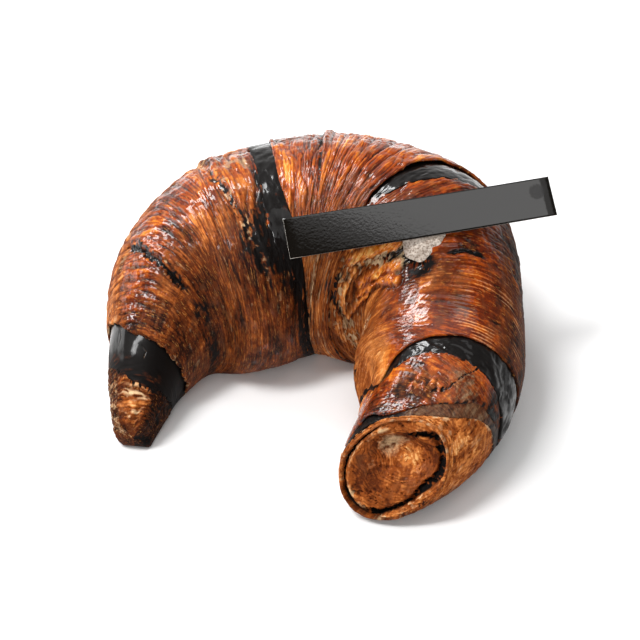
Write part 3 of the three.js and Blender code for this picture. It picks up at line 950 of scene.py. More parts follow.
# %% The last turn's crust
def last_turn_skin(place, from_near, to_far):
    """Dull, pitted dough round the cut end."""
    relief, toast = leafy(place, 16, pitch=1.7, height=0.16, clump=0.14)
    grain = place.flecks(1.5, 81)
    pits = smooth(0.30, 0.75, grain)
    relief -= 0.32 * pits
    under = smooth(-20, -50, place.degrees) + smooth(200, 235, place.degrees)
    # the pits are painted darker, as the shade that falls in them
    toast = (0.70 + 0.8 * toast - 0.34 * pits + 0.16 * grain - 0.25 * under
             - 0.10 * smooth(10, -15, place.degrees))
    crumb = 0.30 * fade(from_near, 0.9) + 0.38 * smooth(0.1, 0.8, place.noise(2.0, 3.5, 83) - 0.5 * grain)
    flank = band(place.degrees, 126, 238, 9)
    line = bell(to_far - 3.0 - 0.8 * place.flecks(4, 82), 0.8)
    relief -= flank * 0.8 * line
    sesame = flank * line * 1.1 + 0.5 * smooth(-14, -30, place.degrees) * smooth(0.0, 0.5, grain)
    return relief, base_marks(toast, 0.08, sesame, crumb)


# %% [markdown]
# ## Skins of the left tip and the black bands
#
# The left tip is dry and flaky: thin leaves are torn across it, each a shade of its own, so they
# too are drawn one by one. The band above it is smooth black dough whose glaze has cracked, and
# the other bands are the same dough with less wear.

# %% The flaky left tip
TIP_LEAVES = (
    # mm from the end, degrees round, half width in mm, half length in degrees, toast, crumb
    (10.0, 84, 0.50, 26, 0.25, 0.35), (8.4, 80, 0.70, 30, 0.45, 0.15), (7.2, 94, 0.50, 26, 0.30, 0.34),
    (5.4, 90, 0.60, 32, 0.30, 0.62), (4.3, 100, 0.45, 24, 0.35, 0.34), (3.1, 84, 0.80, 34, 0.55, 0.05),
    (1.4, 88, 0.65, 32, 0.30, 0.66), (0.3, 100, 0.45, 24, 0.30, 0.36), (-1.0, 86, 0.50, 30, 0.40, 0.10),
)


def tip_skin(place, from_near, _):
    """Thin leaves torn across the end of the horn, each a shade of its own."""
    warp = 1.2 * place.noise(8, 14, 91) + 0.3 * place.noise(2.5, 6, 92)
    profile, groove, own = threads(place, 1.0, 93, wander=0.25)
    fine = place.noise(0.5, 5, 94, warp)
    flecks = place.flecks(1.0, 98)
    inner = smooth(108, 130, place.degrees)
    outer = smooth(58, 40, place.degrees) * smooth(0, 22, place.degrees)
    layered = band(place.degrees, 58, 118, 10)
    relief = 0.35 * profile * (1 + 0.6 * own) + 0.10 * fine + 0.5 * place.noise(5, 6, 95)
    relief += 1.3 * place.blot(.016, 30, 1.6, 14)        # a flake that stands off the outer side
    # toast is lowered in the grooves between the tip's leaves, as painted shade
    toast = 0.23 + 0.16 * own + 0.14 * fine - 0.15 * groove + 0.14 * layered - 0.12 * inner
    crumb = 0.14 * smooth(-20, 20, place.degrees) + 0.2 * fine
    crumb = crumb + 0.36 * outer * smooth(-0.3, 0.6, flecks + own) - 0.2 * inner
    sesame = 0.6 * inner * smooth(-0.5, 0.7, own + fine) + 0.3 * groove * smooth(-0.3, 0.4, own)
    shift = 7 * place.noise(2, 4, 97)
    for mm, degrees, wide, long, warm, pale in TIP_LEAVES:
        leaf = np.exp(-((place.mm + warp - mm) / wide) ** 2 - ((place.degrees + shift - degrees) / long) ** 4)
        toast += 0.85 * warm * leaf
        crumb += 0.85 * pale * leaf * (0.85 + 0.6 * fine)
        sesame *= 1 - 0.8 * leaf
        relief += 0.28 * leaf
    sesame += fade(from_near, 1.4) * smooth(-0.3, 0.5, flecks)
    return relief, base_marks(toast, 0.12, sesame, crumb)


# %% The band above the tip
GLAZE_CRACKS = (((52, .092), (55, .083), (50, .074)), ((92, .072), (99, .067), (97, .060)))


def tip_band_skin(place, from_near, to_far):
    """Black dough, smooth under its lip and streaked with brown towards the tip."""
    relief = 0.14 * place.noise(11, 15, 37) + 0.02 * place.noise(1.2, 14, 101)
    lower = smooth(0.30, 0.95, from_near / (from_near + to_far + 1e-6) + 0.15 * place.noise(2, 5, 100))
    lines = place.noise(1.0, 12, 102) + 0.5 * place.noise(0.45, 7, 103)
    relief += 0.16 * lower * lines
    front = smooth(165, 112, place.degrees)
    wobble = place.noise(1.5, 1.5, 104) * 0.4
    cracks = sum(bell(away_from(place, points), 0.15 + 0.08 * wobble) for points in GLAZE_CRACKS)
    relief -= 0.15 * cracks
    browned = front * lower * smooth(-0.5, 0.4, lines)
    sesame = 1.0 - 0.50 * browned - 0.35 * cracks
    specks = smooth(0.62, 0.8, place.noise(0.7, 1.1, 105)) * smooth(-0.2, 0.3, place.noise(6, 6, 106))
    crumb = 0.25 * front * lower * smooth(0.2, 0.7, lines) + 0.62 * cracks + 0.5 * specks
    dull = 0.5 * smooth(118, 150, place.degrees)
    syrup = 0.62 - 0.6 * lower - dull - 0.16 * smooth(62, 84, place.degrees)
    return relief, base_marks(0.24 + 0.2 * lines, syrup, sesame, crumb)


# %% The other black bands
def black_band_skin(seed, brown=0.25, syrup=0.9):
    """A skin of black dough that is browned in places, under a given thickness of syrup."""
    def skin(place, _, to_far):
        veil = place.flecks(3.0, seed + 3)
        wrinkles = place.noise(1.3, 4, seed + 5) + 0.5 * place.flecks(1.2, seed + 6)
        relief = 0.3 * place.noise(11, 15, seed) + 0.16 * veil + 0.10 * wrinkles
        rim = fade(to_far, 0.8)
        dull = 0.6 * smooth(135, 160, place.degrees) + 0.45 * smooth(48, 30, place.degrees)
        browned = (brown * smooth(0.25, 0.8, 0.6 * veil + 0.5 * wrinkles)
                   + 0.7 * rim * smooth(0.0, 0.6, wrinkles))
        gloss = syrup - 0.4 * rim + 0.3 * veil - dull
        return relief, base_marks(0.42 + 0.2 * veil, gloss, 1 - browned, 0.2 * rim)
    return skin


def ashen_strip_skin(place, *_):
    """The thin strip of sesame dough before the last turn, dusty with dried syrup."""
    veil = place.flecks(2.0, 151)
    relief = 0.12 * veil + 0.3 * place.noise(8, 10, 153)
    left = smooth(84, 104, place.degrees)
    sesame = 0.60 + 0.10 * veil + 0.2 * left + 0.15 * smooth(30, 5, place.degrees)
    return relief, base_marks(0.50 + 0.2 * veil, 0.35, sesame, 0.36 - 0.10 * veil)


# %% [markdown]
# ## The layers, from the belly outwards
#
# The belly is the last turn of the roll and lies over both its neighbours, so it has a lip on each
# side. Every other layer comes out from under a lip on the belly's side and ends in its own.

# %% Wrap every layer
layers = {}


def keep(sheet):
    """Rides a sheet on the one body and remembers it for its finish."""
    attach(sheet, "root")
    layers[sheet.name] = sheet


def add_layer(*lines_and_skin, **how):
    """Wraps one turn of dough and keeps it."""
    keep(dough_layer(*lines_and_skin, **how))


add_layer("belly_crust", FRONT_BAND_RIGHT, BACK_BAND_LEFT, belly_skin, both_lips=True, ragged=0.35, seed=5)
add_layer("front_sesame_band", FRONT_BAND_RIGHT, FRONT_BAND_LEFT, black_band_skin(111, syrup=0.62),
          drop=0.55, reach=6, ragged=0.9, flake=4, seed=6)
add_layer("left_horn_crust", FRONT_BAND_LEFT, TIP_BAND_LIP, left_crust_skin,
          drop=0.6, reach=5, ragged=0.8, flake=3.5, seed=7)
add_layer("left_sesame_band", TIP_BAND_LIP, TIP_BAND_FOOT, tip_band_skin,
          drop=1.3, reach=8, ragged=0.5, seed=8)
add_layer("back_sesame_band", BACK_BAND_LEFT, BACK_BAND_RIGHT, black_band_skin(121, brown=0.1),
          drop=1.3, reach=6, ragged=0.5, flake=5, seed=9)
add_layer("right_horn_crust", BACK_BAND_RIGHT, RIGHT_BAND_TOP, right_crust_skin,
          drop=0.6, reach=6, ragged=0.25, flake=7, seed=10)
add_layer("right_sesame_band", RIGHT_BAND_TOP, RIGHT_BAND_FOOT, black_band_skin(131, brown=0.05),
          drop=0.9, reach=6, ragged=0.2, seed=11, merged=(140, 215))
add_layer("horn_shoulder", RIGHT_BAND_FOOT, LAST_TURN_TOP, shoulder_skin,
          drop=0.5, reach=4, ragged=0.4, seed=12)
add_layer("shoulder_sesame_strip", LAST_TURN_TOP, LAST_TURN_FOOT, ashen_strip_skin,
          drop=0.5, reach=4, ragged=0.35, seed=13)

# %% [markdown]
# ## The torn left tip
#
# The left end is a blunt, torn tip: the same kind of sheet, whose last rows are drawn in along a
# quarter circle to a point past the last section. A ball on the end would show a seam, and this
# way the torn leaves run on over it.

# %% Close the left end
TIP_ROWS, TIP_CLOSING_ROWS = 60, 18
TIP_BULGE = 3.2           # mm that the end swells past the last section
TIP_DROOP = 0.15          # how far the end points down for each mm forward
TIP_BACK, TIP_TUCK = 1.6, 1.2            # mm that its first row lies back under the band, and down
TIP_WRAP = 3              # mm of pattern that are laid over the closed end


def tip_layer():
    """The sheet from the tip band's foot to the closed end."""
    near = TIP_BAND_FOOT
    angle = np.linspace(0, 2 * np.pi, AROUND + 1)[::-1] - np.pi / 2
    share = np.linspace(0, 1, TIP_ROWS)[:, None]
    turn = np.broadcast_to(angle[None], (TIP_ROWS + TIP_CLOSING_ROWS, len(angle)))
    along = np.concatenate([near(angle)[None] * (1 - share), np.zeros((TIP_CLOSING_ROWS, len(angle)))])
    along[0] += TIP_BACK / ROLL_LENGTH
    quarter = np.linspace(0, np.pi / 2, TIP_CLOSING_ROWS + 1)[1:]
    closing = np.broadcast_to(np.concatenate([np.zeros(TIP_ROWS), quarter])[:, None], turn.shape)
    points, normal, _ = roll_frame(along, turn)
    x, y, _, height, _, hx, hy = section(np.zeros_like(along))
    middle = np.stack([x, y, height / 2], -1)

    # the skin's pattern closes over the end together with the rows
    place = Place(along - closing * TIP_WRAP / ROLL_LENGTH, turn)
    place.ring = place.ring[0] * np.cos(closing), place.ring[1] * np.cos(closing)
    from_near = np.maximum(near(turn) - along, 0) * ROLL_LENGTH
    relief, marks = tip_skin(place, from_near, along * ROLL_LENGTH)
    end_relief = 0.35 * place.flecks(2.0, 97)
    relief = np.where(closing > 0, relief * np.cos(closing) ** 2 + end_relief * np.sin(closing), relief)
    drop = 0.7 * fade(from_near, 5) + 2.2 * smooth(8, 0, place.mm) * smooth(125, 175, place.degrees)
    clear = smooth(0.2, 4, points[..., 2])
    points = points + normal * ((relief - drop) * clear)[..., None]
    forward = np.stack([-hx, -hy, np.full_like(hx, -TIP_DROOP)], -1)
    points = (middle + (points - middle) * np.cos(closing)[..., None]
              + forward * (TIP_BULGE * np.sin(closing))[..., None])
    points[0, :, :] -= normal[0] * TIP_TUCK
    points[..., 2] = np.maximum(points[..., 2], 0)

    # the very end is burnt black in places
    end_ash = np.sin(closing) * smooth(9, 3, points[..., 2]) * smooth(-0.6, 0.3, place.flecks(2.0, 99))
    marks["sesame"] = np.clip(marks["sesame"] + 0.6 * end_ash, 0, 1)
    marks["under"] = np.zeros_like(along)
    return wrap_sheet("left_tip", points, marks, (place.mm, *place.ring))


keep(tip_layer())

# %% [markdown]
# ## The last turn
#
# The right end was cut, so the last turn stops at the cut's plane and its rim rolls over inwards,
# half a circle of rows, as the soft edge of a sliced pastry does.

# %% The last turn and its rim
TURN_ROWS, RIM_ROWS = 110, 10
RIM_THICK = 1.1           # mm from the outside to the inside of the rim
RIM_RISE = 0.55           # mm that the rim stands out of the cut's plane
RIM_DROP = 1.8            # mm that its inner edge goes down behind the face
TURN_TUCKS = ((2.0, 1.2), (1.0, 0.6))    # (back under its neighbour, down) in mm


def last_turn():
    """The sheet from the sesame strip's foot to the rolled rim of the cut."""
    near = LAST_TURN_FOOT
    angle = np.linspace(0, 2 * np.pi, AROUND + 1) - np.pi / 2
    share = np.linspace(0, 1, TURN_ROWS)[:, None]
    back_mm, down_mm = np.array(TURN_TUCKS).T[..., None]
    main = near(angle)[None] + (1 - near(angle)[None]) * share
    tuck = near(angle)[None] - back_mm / ROLL_LENGTH
    along = np.concatenate([tuck, main, np.ones((RIM_ROWS, len(angle)))])
    turn = np.broadcast_to(angle[None], along.shape)
    points, normal, metric = roll_frame(along, turn)
    place = Place(along, turn)
    from_near = np.maximum(along - near(turn), 0) * metric
    to_far = (1 - along) * metric
    relief, marks = last_turn_skin(place, from_near, to_far)
    sunk = 0.35 * fade(from_near, 3)
    clear = smooth(0.2, 5, points[..., 2])
    shift_out = (relief - sunk) * clear
    shift_out[:len(TURN_TUCKS)] -= down_mm
    points = points + normal * shift_out[..., None]

    # the rim rolls over in half a circle and goes down behind the face
    rolled = np.linspace(0, 1, RIM_ROWS + 1)[1:, None]
    bend = rolled * np.pi
    rim = points[-RIM_ROWS - 1]
    inward = CUT_CENTRE - rim
    inward /= np.linalg.norm(inward, axis=-1, keepdims=True)
    to_middle = (RIM_THICK * (1 - np.cos(bend)) / 2)[..., None]
    out_of_cut = (RIM_RISE * np.sin(bend) - RIM_DROP * smooth(0.5, 1, rolled))[..., None]
    points[-RIM_ROWS:] = rim[None] + inward[None] * to_middle + CUT_FACING * out_of_cut
    points[..., 2] = np.maximum(points[..., 2], 0)
    marks["under"] = np.zeros_like(along)
    past_edge = np.concatenate([np.zeros((len(along) - RIM_ROWS, 1)), rolled * 2])
    return wrap_sheet("last_turn", points, marks, (place.mm + past_edge, *place.ring))


keep(last_turn())

# %% [markdown]
# ## The cut face
#
# The cut shows how the dough is wound: a black groove of sesame dough curls round from the top to
# the lower right, a gap parts two rims on the left, and inside them the leaves are pressed together
# and torn, with a pale hollow above the middle. All of it is depth in one round sheet of rows that
# shrink to the centre, because the pattern is one piece of dough and not parts laid together. The
# shade under the fold above the hollow, in the pores and in the cracks, and a thin shadow under the
# top rim are painted dark as well.

# %% The groove's two edges, as shares of the way from the centre to the rim
FACE_ROWS = 96
FACE_EDGE = 0.965         # share of the way to the rim where the face meets the rolled rim
GROOVE_OUTER = ring_line((-150, 1.04), (-100, 1.02), (-90, .86), (-65, .78), (-37, .76), (-11, .83), (3, .91),
                         (17, .98), (27, 1.0), (40, 1.0), (53, .92), (68, .76), (81, .66), (100, .60),
                         (130, .60))
GROOVE_INNER = ring_line((-150, .96), (-93, .79), (-74, .72), (-49, .67), (-26, .63), (-10, .64), (8, .75),
                         (24, .79), (36, .80), (49, .81), (64, .71), (73, .62), (100, .56), (130, .56))


def flat_noise(right, up, seed):
    """Noise over the flat face, which is one slice of the noise in space."""
    return noise3(right, up, np.full_like(up, 0.5), seed)


def ragged(right, up, size, seed):
    """Torn-looking noise on the face, without a direction."""
    a = right / size + 0.7 * flat_noise(right / (size * 2), up / (size * 2), seed + 1)
    b = up / size + 0.7 * flat_noise(right / (size * 2), up / (size * 2), seed + 2)
    turned = flat_noise(0.8 * a + 0.6 * b, 0.8 * b - 0.6 * a, seed)
    return turned + 0.6 * flat_noise(2.1 * b, 1.9 * a, seed + 3)


def spot(right, up, centre, size):
    """A soft oval spot on the face: its centre and size to the right and up, in mm."""
    return np.exp(-((right - centre[0]) / size[0]) ** 2 - ((up - centre[1]) / size[1]) ** 2)


# %% Shape and marks of the face
def cut_face():
    """The face of the cut, from its edge in to its centre."""
    angle = np.linspace(0, 2 * np.pi, AROUND + 1) - np.pi / 2
    turn = np.broadcast_to(angle[None], (FACE_ROWS, len(angle)))
    share = np.broadcast_to(np.linspace(FACE_EDGE, 0.0, FACE_ROWS)[:, None], turn.shape)
    plane = face_point(turn, share)
    right = (plane - CUT_CENTRE) @ FACE_RIGHT
    up = (plane - CUT_CENTRE) @ FACE_UP
    degrees = (np.degrees(turn) + 180) % 360 - 180
    coarse = ragged(right, up, 3.4, 201)
    medium = ragged(right, up, 1.7, 221)
    fine = ragged(right, up, 0.8, 241)

    # the black groove from the top round to the bottom right, and the hollow above the middle
    outer, inner = GROOVE_OUTER(turn), GROOVE_INNER(turn)
    wobble = 0.03 * medium + 0.015 * fine
    arc = band(degrees, -112, 80, 12)
    groove = band(share + wobble, inner, outer, 0.035) * arc
    wrap = smooth(outer - 0.03, outer + 0.05, share + wobble) * arc
    hollow = bell(np.hypot((right - 3.2 + 0.4 * coarse) / 9.8, (up - 5.0) / 6.4), 1, 5)
    hollow_side = bell(np.hypot((right - 2.6 + 0.5 * coarse) / 11.4, (up - 2.8) / 9.2), 1, 6)

    # on the left a black gap parts two rims
    gap = bell(share - 0.905 - 0.012 * medium, 0.036) * smooth(108, 132, np.abs(degrees))
    rim = bell(share - 0.81 - 0.02 * medium, 0.06) * smooth(95, 125, np.abs(degrees))

    # leaves of dough wound loosely round the middle, pressed together and torn
    leaf_noise = flat_noise(right / 6, up / 6, 205)
    spiral = np.hypot(right - 1.5, (up - 4.0) * 1.1) * 0.9 + 1.9 * leaf_noise + 0.7 * coarse
    leaf_index = np.floor(spiral)
    within = spiral - leaf_index
    leaf_shade = noise3(leaf_index * 1.7, right / 3.5, up / 3.5, 207)
    leaf = np.sqrt(np.clip(4 * within * (1 - within), 0, 1))
    rings = noise3(share * 30 + 0.6 * medium, np.cos(turn) * 2.5, np.sin(turn) * 2.5, 231)
    edge_zone = np.maximum(wrap, smooth(0.74, 0.84, share) * smooth(90, 120, np.abs(degrees)))
    # the cracks between leaves are sunk into the face and painted darker in its toast, as the shade in them
    cracks = bell(np.minimum(within, 1 - within), 0.10) * smooth(-0.3, 0.4, leaf_shade + 0.5 * coarse)
    upright = flat_noise(right / 0.9, up / 5, 218) * hollow_side
    # the pores are sunk into the face and painted darker in its toast, as the shade in them
    pores = smooth(0.3, 0.6, medium) * smooth(0.5, 0.7, share) * band(degrees, -158, -98, 12)
    pores = np.maximum(pores, 0.6 * smooth(0.6, 0.9, fine) * (1 - wrap))

    depth = (0.7 + 1.9 * hollow_side + 2.9 * hollow - 0.7 * wrap + 2.2 * groove + 1.5 * gap - 0.6 * rim
             - 0.12 * leaf - 0.2 * leaf_shade - 0.22 * rings * edge_zone + 0.25 * cracks - 0.35 * coarse
             - 0.25 * medium - 0.12 * fine - 0.25 * upright + 1.0 * pores)
    points = plane - CUT_FACING * (depth * smooth(0.99, 0.94, share))[..., None]
    points[..., 2] = np.maximum(points[..., 2], 0)

    # shades: a pale torn patch, golden dough in the hollow and ruddy on the left, with painted shade under
    # the fold over the hollow, in the pores and in the cracks between leaves
    pale = 1.2 * spot(right, up, (-3.2, 5.6), (3.4, 4.0)) + 0.7 * spot(right, up, (0.5, 8.6), (5.0, 1.8))
    pale = pale * smooth(-1.7, 0.1, coarse + 0.2 * fine)
    golden = spot(right, up, (3.4, 4.2), (5.5, 5.5))
    ruddy = spot(right, up, (-8.5, -2.0), (4.2, 8.0))
    from_fold = np.hypot((right - 3.2) / 10.0, (up - 4.0) / 7.0) - 0.86
    painted_shade_under_fold = np.exp(-from_fold ** 2 / 0.03) * smooth(1, 8, up)
    toast = (0.53 + 0.12 * leaf_shade + 0.05 * (leaf - 0.7) + 0.14 * coarse + 0.14 * medium + 0.12 * fine
             - 0.45 * pores + 0.16 * rim + 0.30 * golden + 0.12 * wrap - 0.20 * ruddy + 0.16 * upright
             + 0.16 * rings * edge_zone - 0.22 * cracks * (1 - wrap) - 0.30 * painted_shade_under_fold)
    sesame = groove * smooth(-0.9, 0.0, medium + 0.6 * fine) + 1.1 * gap
    sesame += 0.35 * band(share + 2 * wobble, inner - 0.08, outer + 0.06, 0.06) * arc * smooth(0.0, 0.6, fine)
    # a thin line under the top rim is painted black, as the shadow the rim throws
    sesame += 0.5 * bell(up - 11.2 - 0.4 * medium, 0.6) * band(right, -1.0, 7, 2)
    crumb = (0.55 * pale * (0.95 + 0.2 * fine) + 0.25 * rim + 0.30 * smooth(0.1, 0.9, medium - 0.3 * coarse)
             + 0.3 * wrap * smooth(0.0, 0.6, fine) + 0.35 * edge_zone * smooth(0.15, 0.6, rings))
    marks = base_marks(toast, 0.10 + 0.2 * hollow_side, sesame, crumb)
    marks["under"] = np.zeros_like(toast)
    return wrap_sheet("cut_face", points, marks, (right, up, depth))


keep(cut_face())
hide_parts("croissant")

# %% [markdown]
# ## The card
#
# The card is a strip cut from glossy board, a little twisted and bowed. A cube is drawn out to the
# strip, divided all over so that it can bend, and its vertices then follow the twist. A bevel
# wears its edges, which are far too sharp otherwise to catch any light.

# %% The card strip
CARD_CUTS = 24
CARD_LENGTH = 88          # mm, for the pattern on it
CARD_WEAR = 0.12          # mm of its edges that are rounded
bpy.ops.object.select_all(action="DESELECT")
bpy.ops.mesh.primitive_cube_add(size=1)
card = bpy.context.object
card.name = card.data.name = "blank_card"
bpy.ops.object.mode_set(mode="EDIT")
bpy.ops.mesh.select_all(action="SELECT")
bpy.ops.mesh.subdivide(number_cuts=CARD_CUTS)
bpy.ops.object.mode_set(mode="OBJECT")
local = np.array([v.co for v in card.data.vertices])
store_vector(card.data, "card", local * (CARD_LENGTH, CARD_WIDTH, 1))
move_vertices(card.data, to_metres(card_point(local[:, 0] + 0.5, local[:, 1], 0.5 - local[:, 2])))
bevel = card.modifiers.new("worn edge", "BEVEL")
bevel.width = CARD_WEAR * MM
bevel.segments = 2
bevel.limit_method = "ANGLE"
bpy.ops.object.modifier_apply(modifier="worn edge")
bpy.ops.object.shade_smooth_by_angle(angle=math.radians(40))
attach(card, "root")
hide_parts("card_strip")
print("card:", len(card.data.polygons), "faces")

# %% [markdown]
# ## The icing
#
# The dab of icing was squeezed out and pressed flat by the card, so its outline is soft and lobed.
# The solid already has that form, cut off by the card's own slope, so a copy of it is rounded by
# subdivision and given a dusty grain.

# %% The dab of icing
ICING_GRAINS = ((0.22, 1.6, 301), (0.10, 0.6, 302))     # (height, size) in mm, seed
bpy.ops.object.select_all(action="DESELECT")
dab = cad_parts["icing_dab"].copy()
dab.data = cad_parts["icing_dab"].data.copy()
dab.name = dab.data.name = "icing"
for key in [k for k in dab.keys() if k.startswith("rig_")]:
    del dab[key]
bpy.context.scene.collection.objects.link(dab)
dab.select_set(True)
bpy.context.view_layer.objects.active = dab
merge_doubles(1e-5)
rounding = dab.modifiers.new("rounding", "SUBSURF")
rounding.levels = rounding.render_levels = 3
bpy.ops.object.modifier_apply(modifier="rounding")
dab.data.materials.clear()
spots = np.array([v.co for v in dab.data.vertices]) / MM
ups = np.array([v.normal for v in dab.data.vertices])
grainy = sum(height * noise3(*(spots / size).T, seed) for height, size, seed in ICING_GRAINS)
move_vertices(dab.data, (spots + ups * grainy[:, None]) * MM)
bpy.ops.object.shade_smooth()
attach(dab, "root")
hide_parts("icing_dab")
print("icing:", len(dab.data.polygons), "faces")

# %% [markdown]
# ## Finishes: fine streaks
#
# The mesh carries every thread that can be seen, but crust has fibres finer than that. They come
# from noise that is stretched round the roll, and since every kind of dough has them, they are
# built once as a node group with a fineness and a seed.

# %% Small helpers for shaders
def new_node(tree, kind, **settings):
    """A shader node with its settings."""
    node = tree.nodes.new(kind)
    for name, value in settings.items():
        setattr(node, name, value)
    return node


def link(tree, source, target):
    """Joins an output to an input."""
    tree.links.new(source, target)


def noise_texture(tree, vector, scale, detail, **settings):
    """A noise texture that reads a vector."""
    node = new_node(tree, "ShaderNodeTexNoise", **settings)
    node.inputs["Scale"].default_value = scale
    node.inputs["Detail"].default_value = detail
    link(tree, vector, node.inputs["Vector"])
    return node


def attribute(tree, name, output="Fac"):
    """A mark, or a vector, that the mesh carries."""
    return new_node(tree, "ShaderNodeAttribute", attribute_name=name).outputs[output]


# %% The shared streak group
STREAK_STRETCH = (1.9, 0.26, 0.26)       # along the roll, and twice round it


def leaf_streak_group():
    """Thin streaks that run round the roll, and specks, from the roll attribute."""
    group = bpy.data.node_groups.new("leaf streaks", "ShaderNodeTree")
    for label, value in (("Fineness", 1.0), ("Seed", 0.0)):
        group.interface.new_socket(label, in_out="INPUT", socket_type="NodeSocketFloat").default_value = value
    for label in ("Streaks", "Specks"):
        group.interface.new_socket(label, in_out="OUTPUT", socket_type="NodeSocketFloat")
    entry, leave = group.nodes.new("NodeGroupInput"), group.nodes.new("NodeGroupOutput")
    place = attribute(group, "roll", "Vector")
    squeeze = new_node(group, "ShaderNodeVectorMath", operation="MULTIPLY")
    squeeze.inputs[1].default_value = STREAK_STRETCH
    link(group, place, squeeze.inputs[0])
    scaled = new_node(group, "ShaderNodeVectorMath", operation="SCALE")
    link(group, squeeze.outputs[0], scaled.inputs[0])
    link(group, entry.outputs["Fineness"], scaled.inputs["Scale"])
    streak = noise_texture(group, scaled.outputs[0], 1.0, 4.0, noise_dimensions="4D")
    streak.inputs["Roughness"].default_value = 0.6
    speck = noise_texture(group, place, 1.1, 3.0, noise_dimensions="4D")
    for texture, label in ((streak, "Streaks"), (speck, "Specks")):
        link(group, entry.outputs["Seed"], texture.inputs["W"])
        link(group, texture.outputs["Fac"], leave.inputs[label])
    return group


STREAKS = leaf_streak_group()
print("one streak group for every kind of dough")

# %% [markdown]
# ## Finishes: baked dough
#
# All layers share one recipe. Colour ramps turn toast into crust brown, one for dry crust and one
# for crust that is soaked in syrup, and the sesame and crumb marks lay black and cream over it.
# The syrup itself is the shader's clear coat, as it is on the real thing.

# %% Colours
def shade(red, green, blue):
    """A colour given as the screen shows it, 0 to 255, turned into light."""
    return tuple((v / 255) ** 2.2 for v in (red, green, blue)) + (1.0,)


TOAST_STEPS = (0.0, 0.30, 0.58, 0.82, 1.0)
WET_CRUST = (shade(34, 12, 4), shade(94, 35, 8), shade(154, 66, 12),
             shade(210, 116, 32), shade(238, 174, 88))
DRY_CRUST = (shade(36, 17, 8), shade(84, 40, 16), shade(134, 69, 29),
             shade(192, 115, 58), shade(226, 168, 106))
BLACK = shade(20, 17, 16)
CREAM = shade(208, 175, 134)
TAN = shade(206, 138, 70)
MAUVE = shade(110, 67, 42)
for wetness, steps in (("wet", WET_CRUST), ("dry", DRY_CRUST)):
    print(wetness, "crust at its palest is", [round(value, 3) for value in steps[-1][:3]])


# %% Mixing colours and marks
def new_material(name):
    """A material, its node tree and its shader."""
    material = bpy.data.materials.new(name)
    material.use_nodes = True
    return material, material.node_tree, material.node_tree.nodes["Principled BSDF"]


def math_node(tree, operation, first, second, clamp=False):
    """A sum or product of outputs and numbers."""
    node = new_node(tree, "ShaderNodeMath", operation=operation, use_clamp=clamp)
    for slot, value in zip(node.inputs, (first, second)):
        if isinstance(value, (int, float)):
            slot.default_value = value
        else:
            link(tree, value, slot)
    return node.outputs[0]


def remap(tree, value, low, high, new_low=0.0, new_high=1.0):
    """new_low below low, new_high above high, and an S-curve between."""
    node = new_node(tree, "ShaderNodeMapRange", interpolation_type="SMOOTHSTEP")
    link(tree, value, node.inputs["Value"])
    for label, number in (("From Min", low), ("From Max", high), ("To Min", new_low), ("To Max", new_high)):
        node.inputs[label].default_value = number
    return node.outputs["Result"]


def mix_colour(tree, factor, first, second):
    """A mix of two colours, each an output or a shade."""
    node = new_node(tree, "ShaderNodeMix", data_type="RGBA")
    link(tree, factor, node.inputs[0])
    for socket, value in zip([s for s in node.inputs if s.type == "RGBA"], (first, second)):
        if isinstance(value, tuple):
            socket.default_value = value
        else:
            link(tree, value, socket)
    return [s for s in node.outputs if s.type == "RGBA"][0]


def colour_ramp(tree, value, colours):
    """A soft ramp through the crust's colours at the toast steps."""
    node = new_node(tree, "ShaderNodeValToRGB")
    ramp = node.color_ramp
    ramp.interpolation = "EASE"
    stops = list(zip(TOAST_STEPS, colours))
    ramp.elements[0].position, ramp.elements[0].color = stops[0]
    ramp.elements[1].position, ramp.elements[1].color = stops[-1]
    for where, colour in stops[1:-1]:
        ramp.elements.new(where).color = colour
    link(tree, value, node.inputs["Fac"])
    return node.outputs["Color"]


def add_bump(tree, shader, height, mm, strength):
    """Relief mm deep, for grain that is too fine for the mesh."""
    bump = new_node(tree, "ShaderNodeBump")
    bump.inputs["Strength"].default_value = strength
    bump.inputs["Distance"].default_value = mm * MM
    link(tree, height, bump.inputs["Height"])
    link(tree, bump.outputs["Normal"], shader.inputs["Normal"])


# %% The recipe for dough
def streaks_of(tree, seed, fineness=1.0):
    """The shared streaks with a seed of their own."""
    node = new_node(tree, "ShaderNodeGroup", node_tree=STREAKS)
    node.inputs["Seed"].default_value = seed
    node.inputs["Fineness"].default_value = fineness
    return node


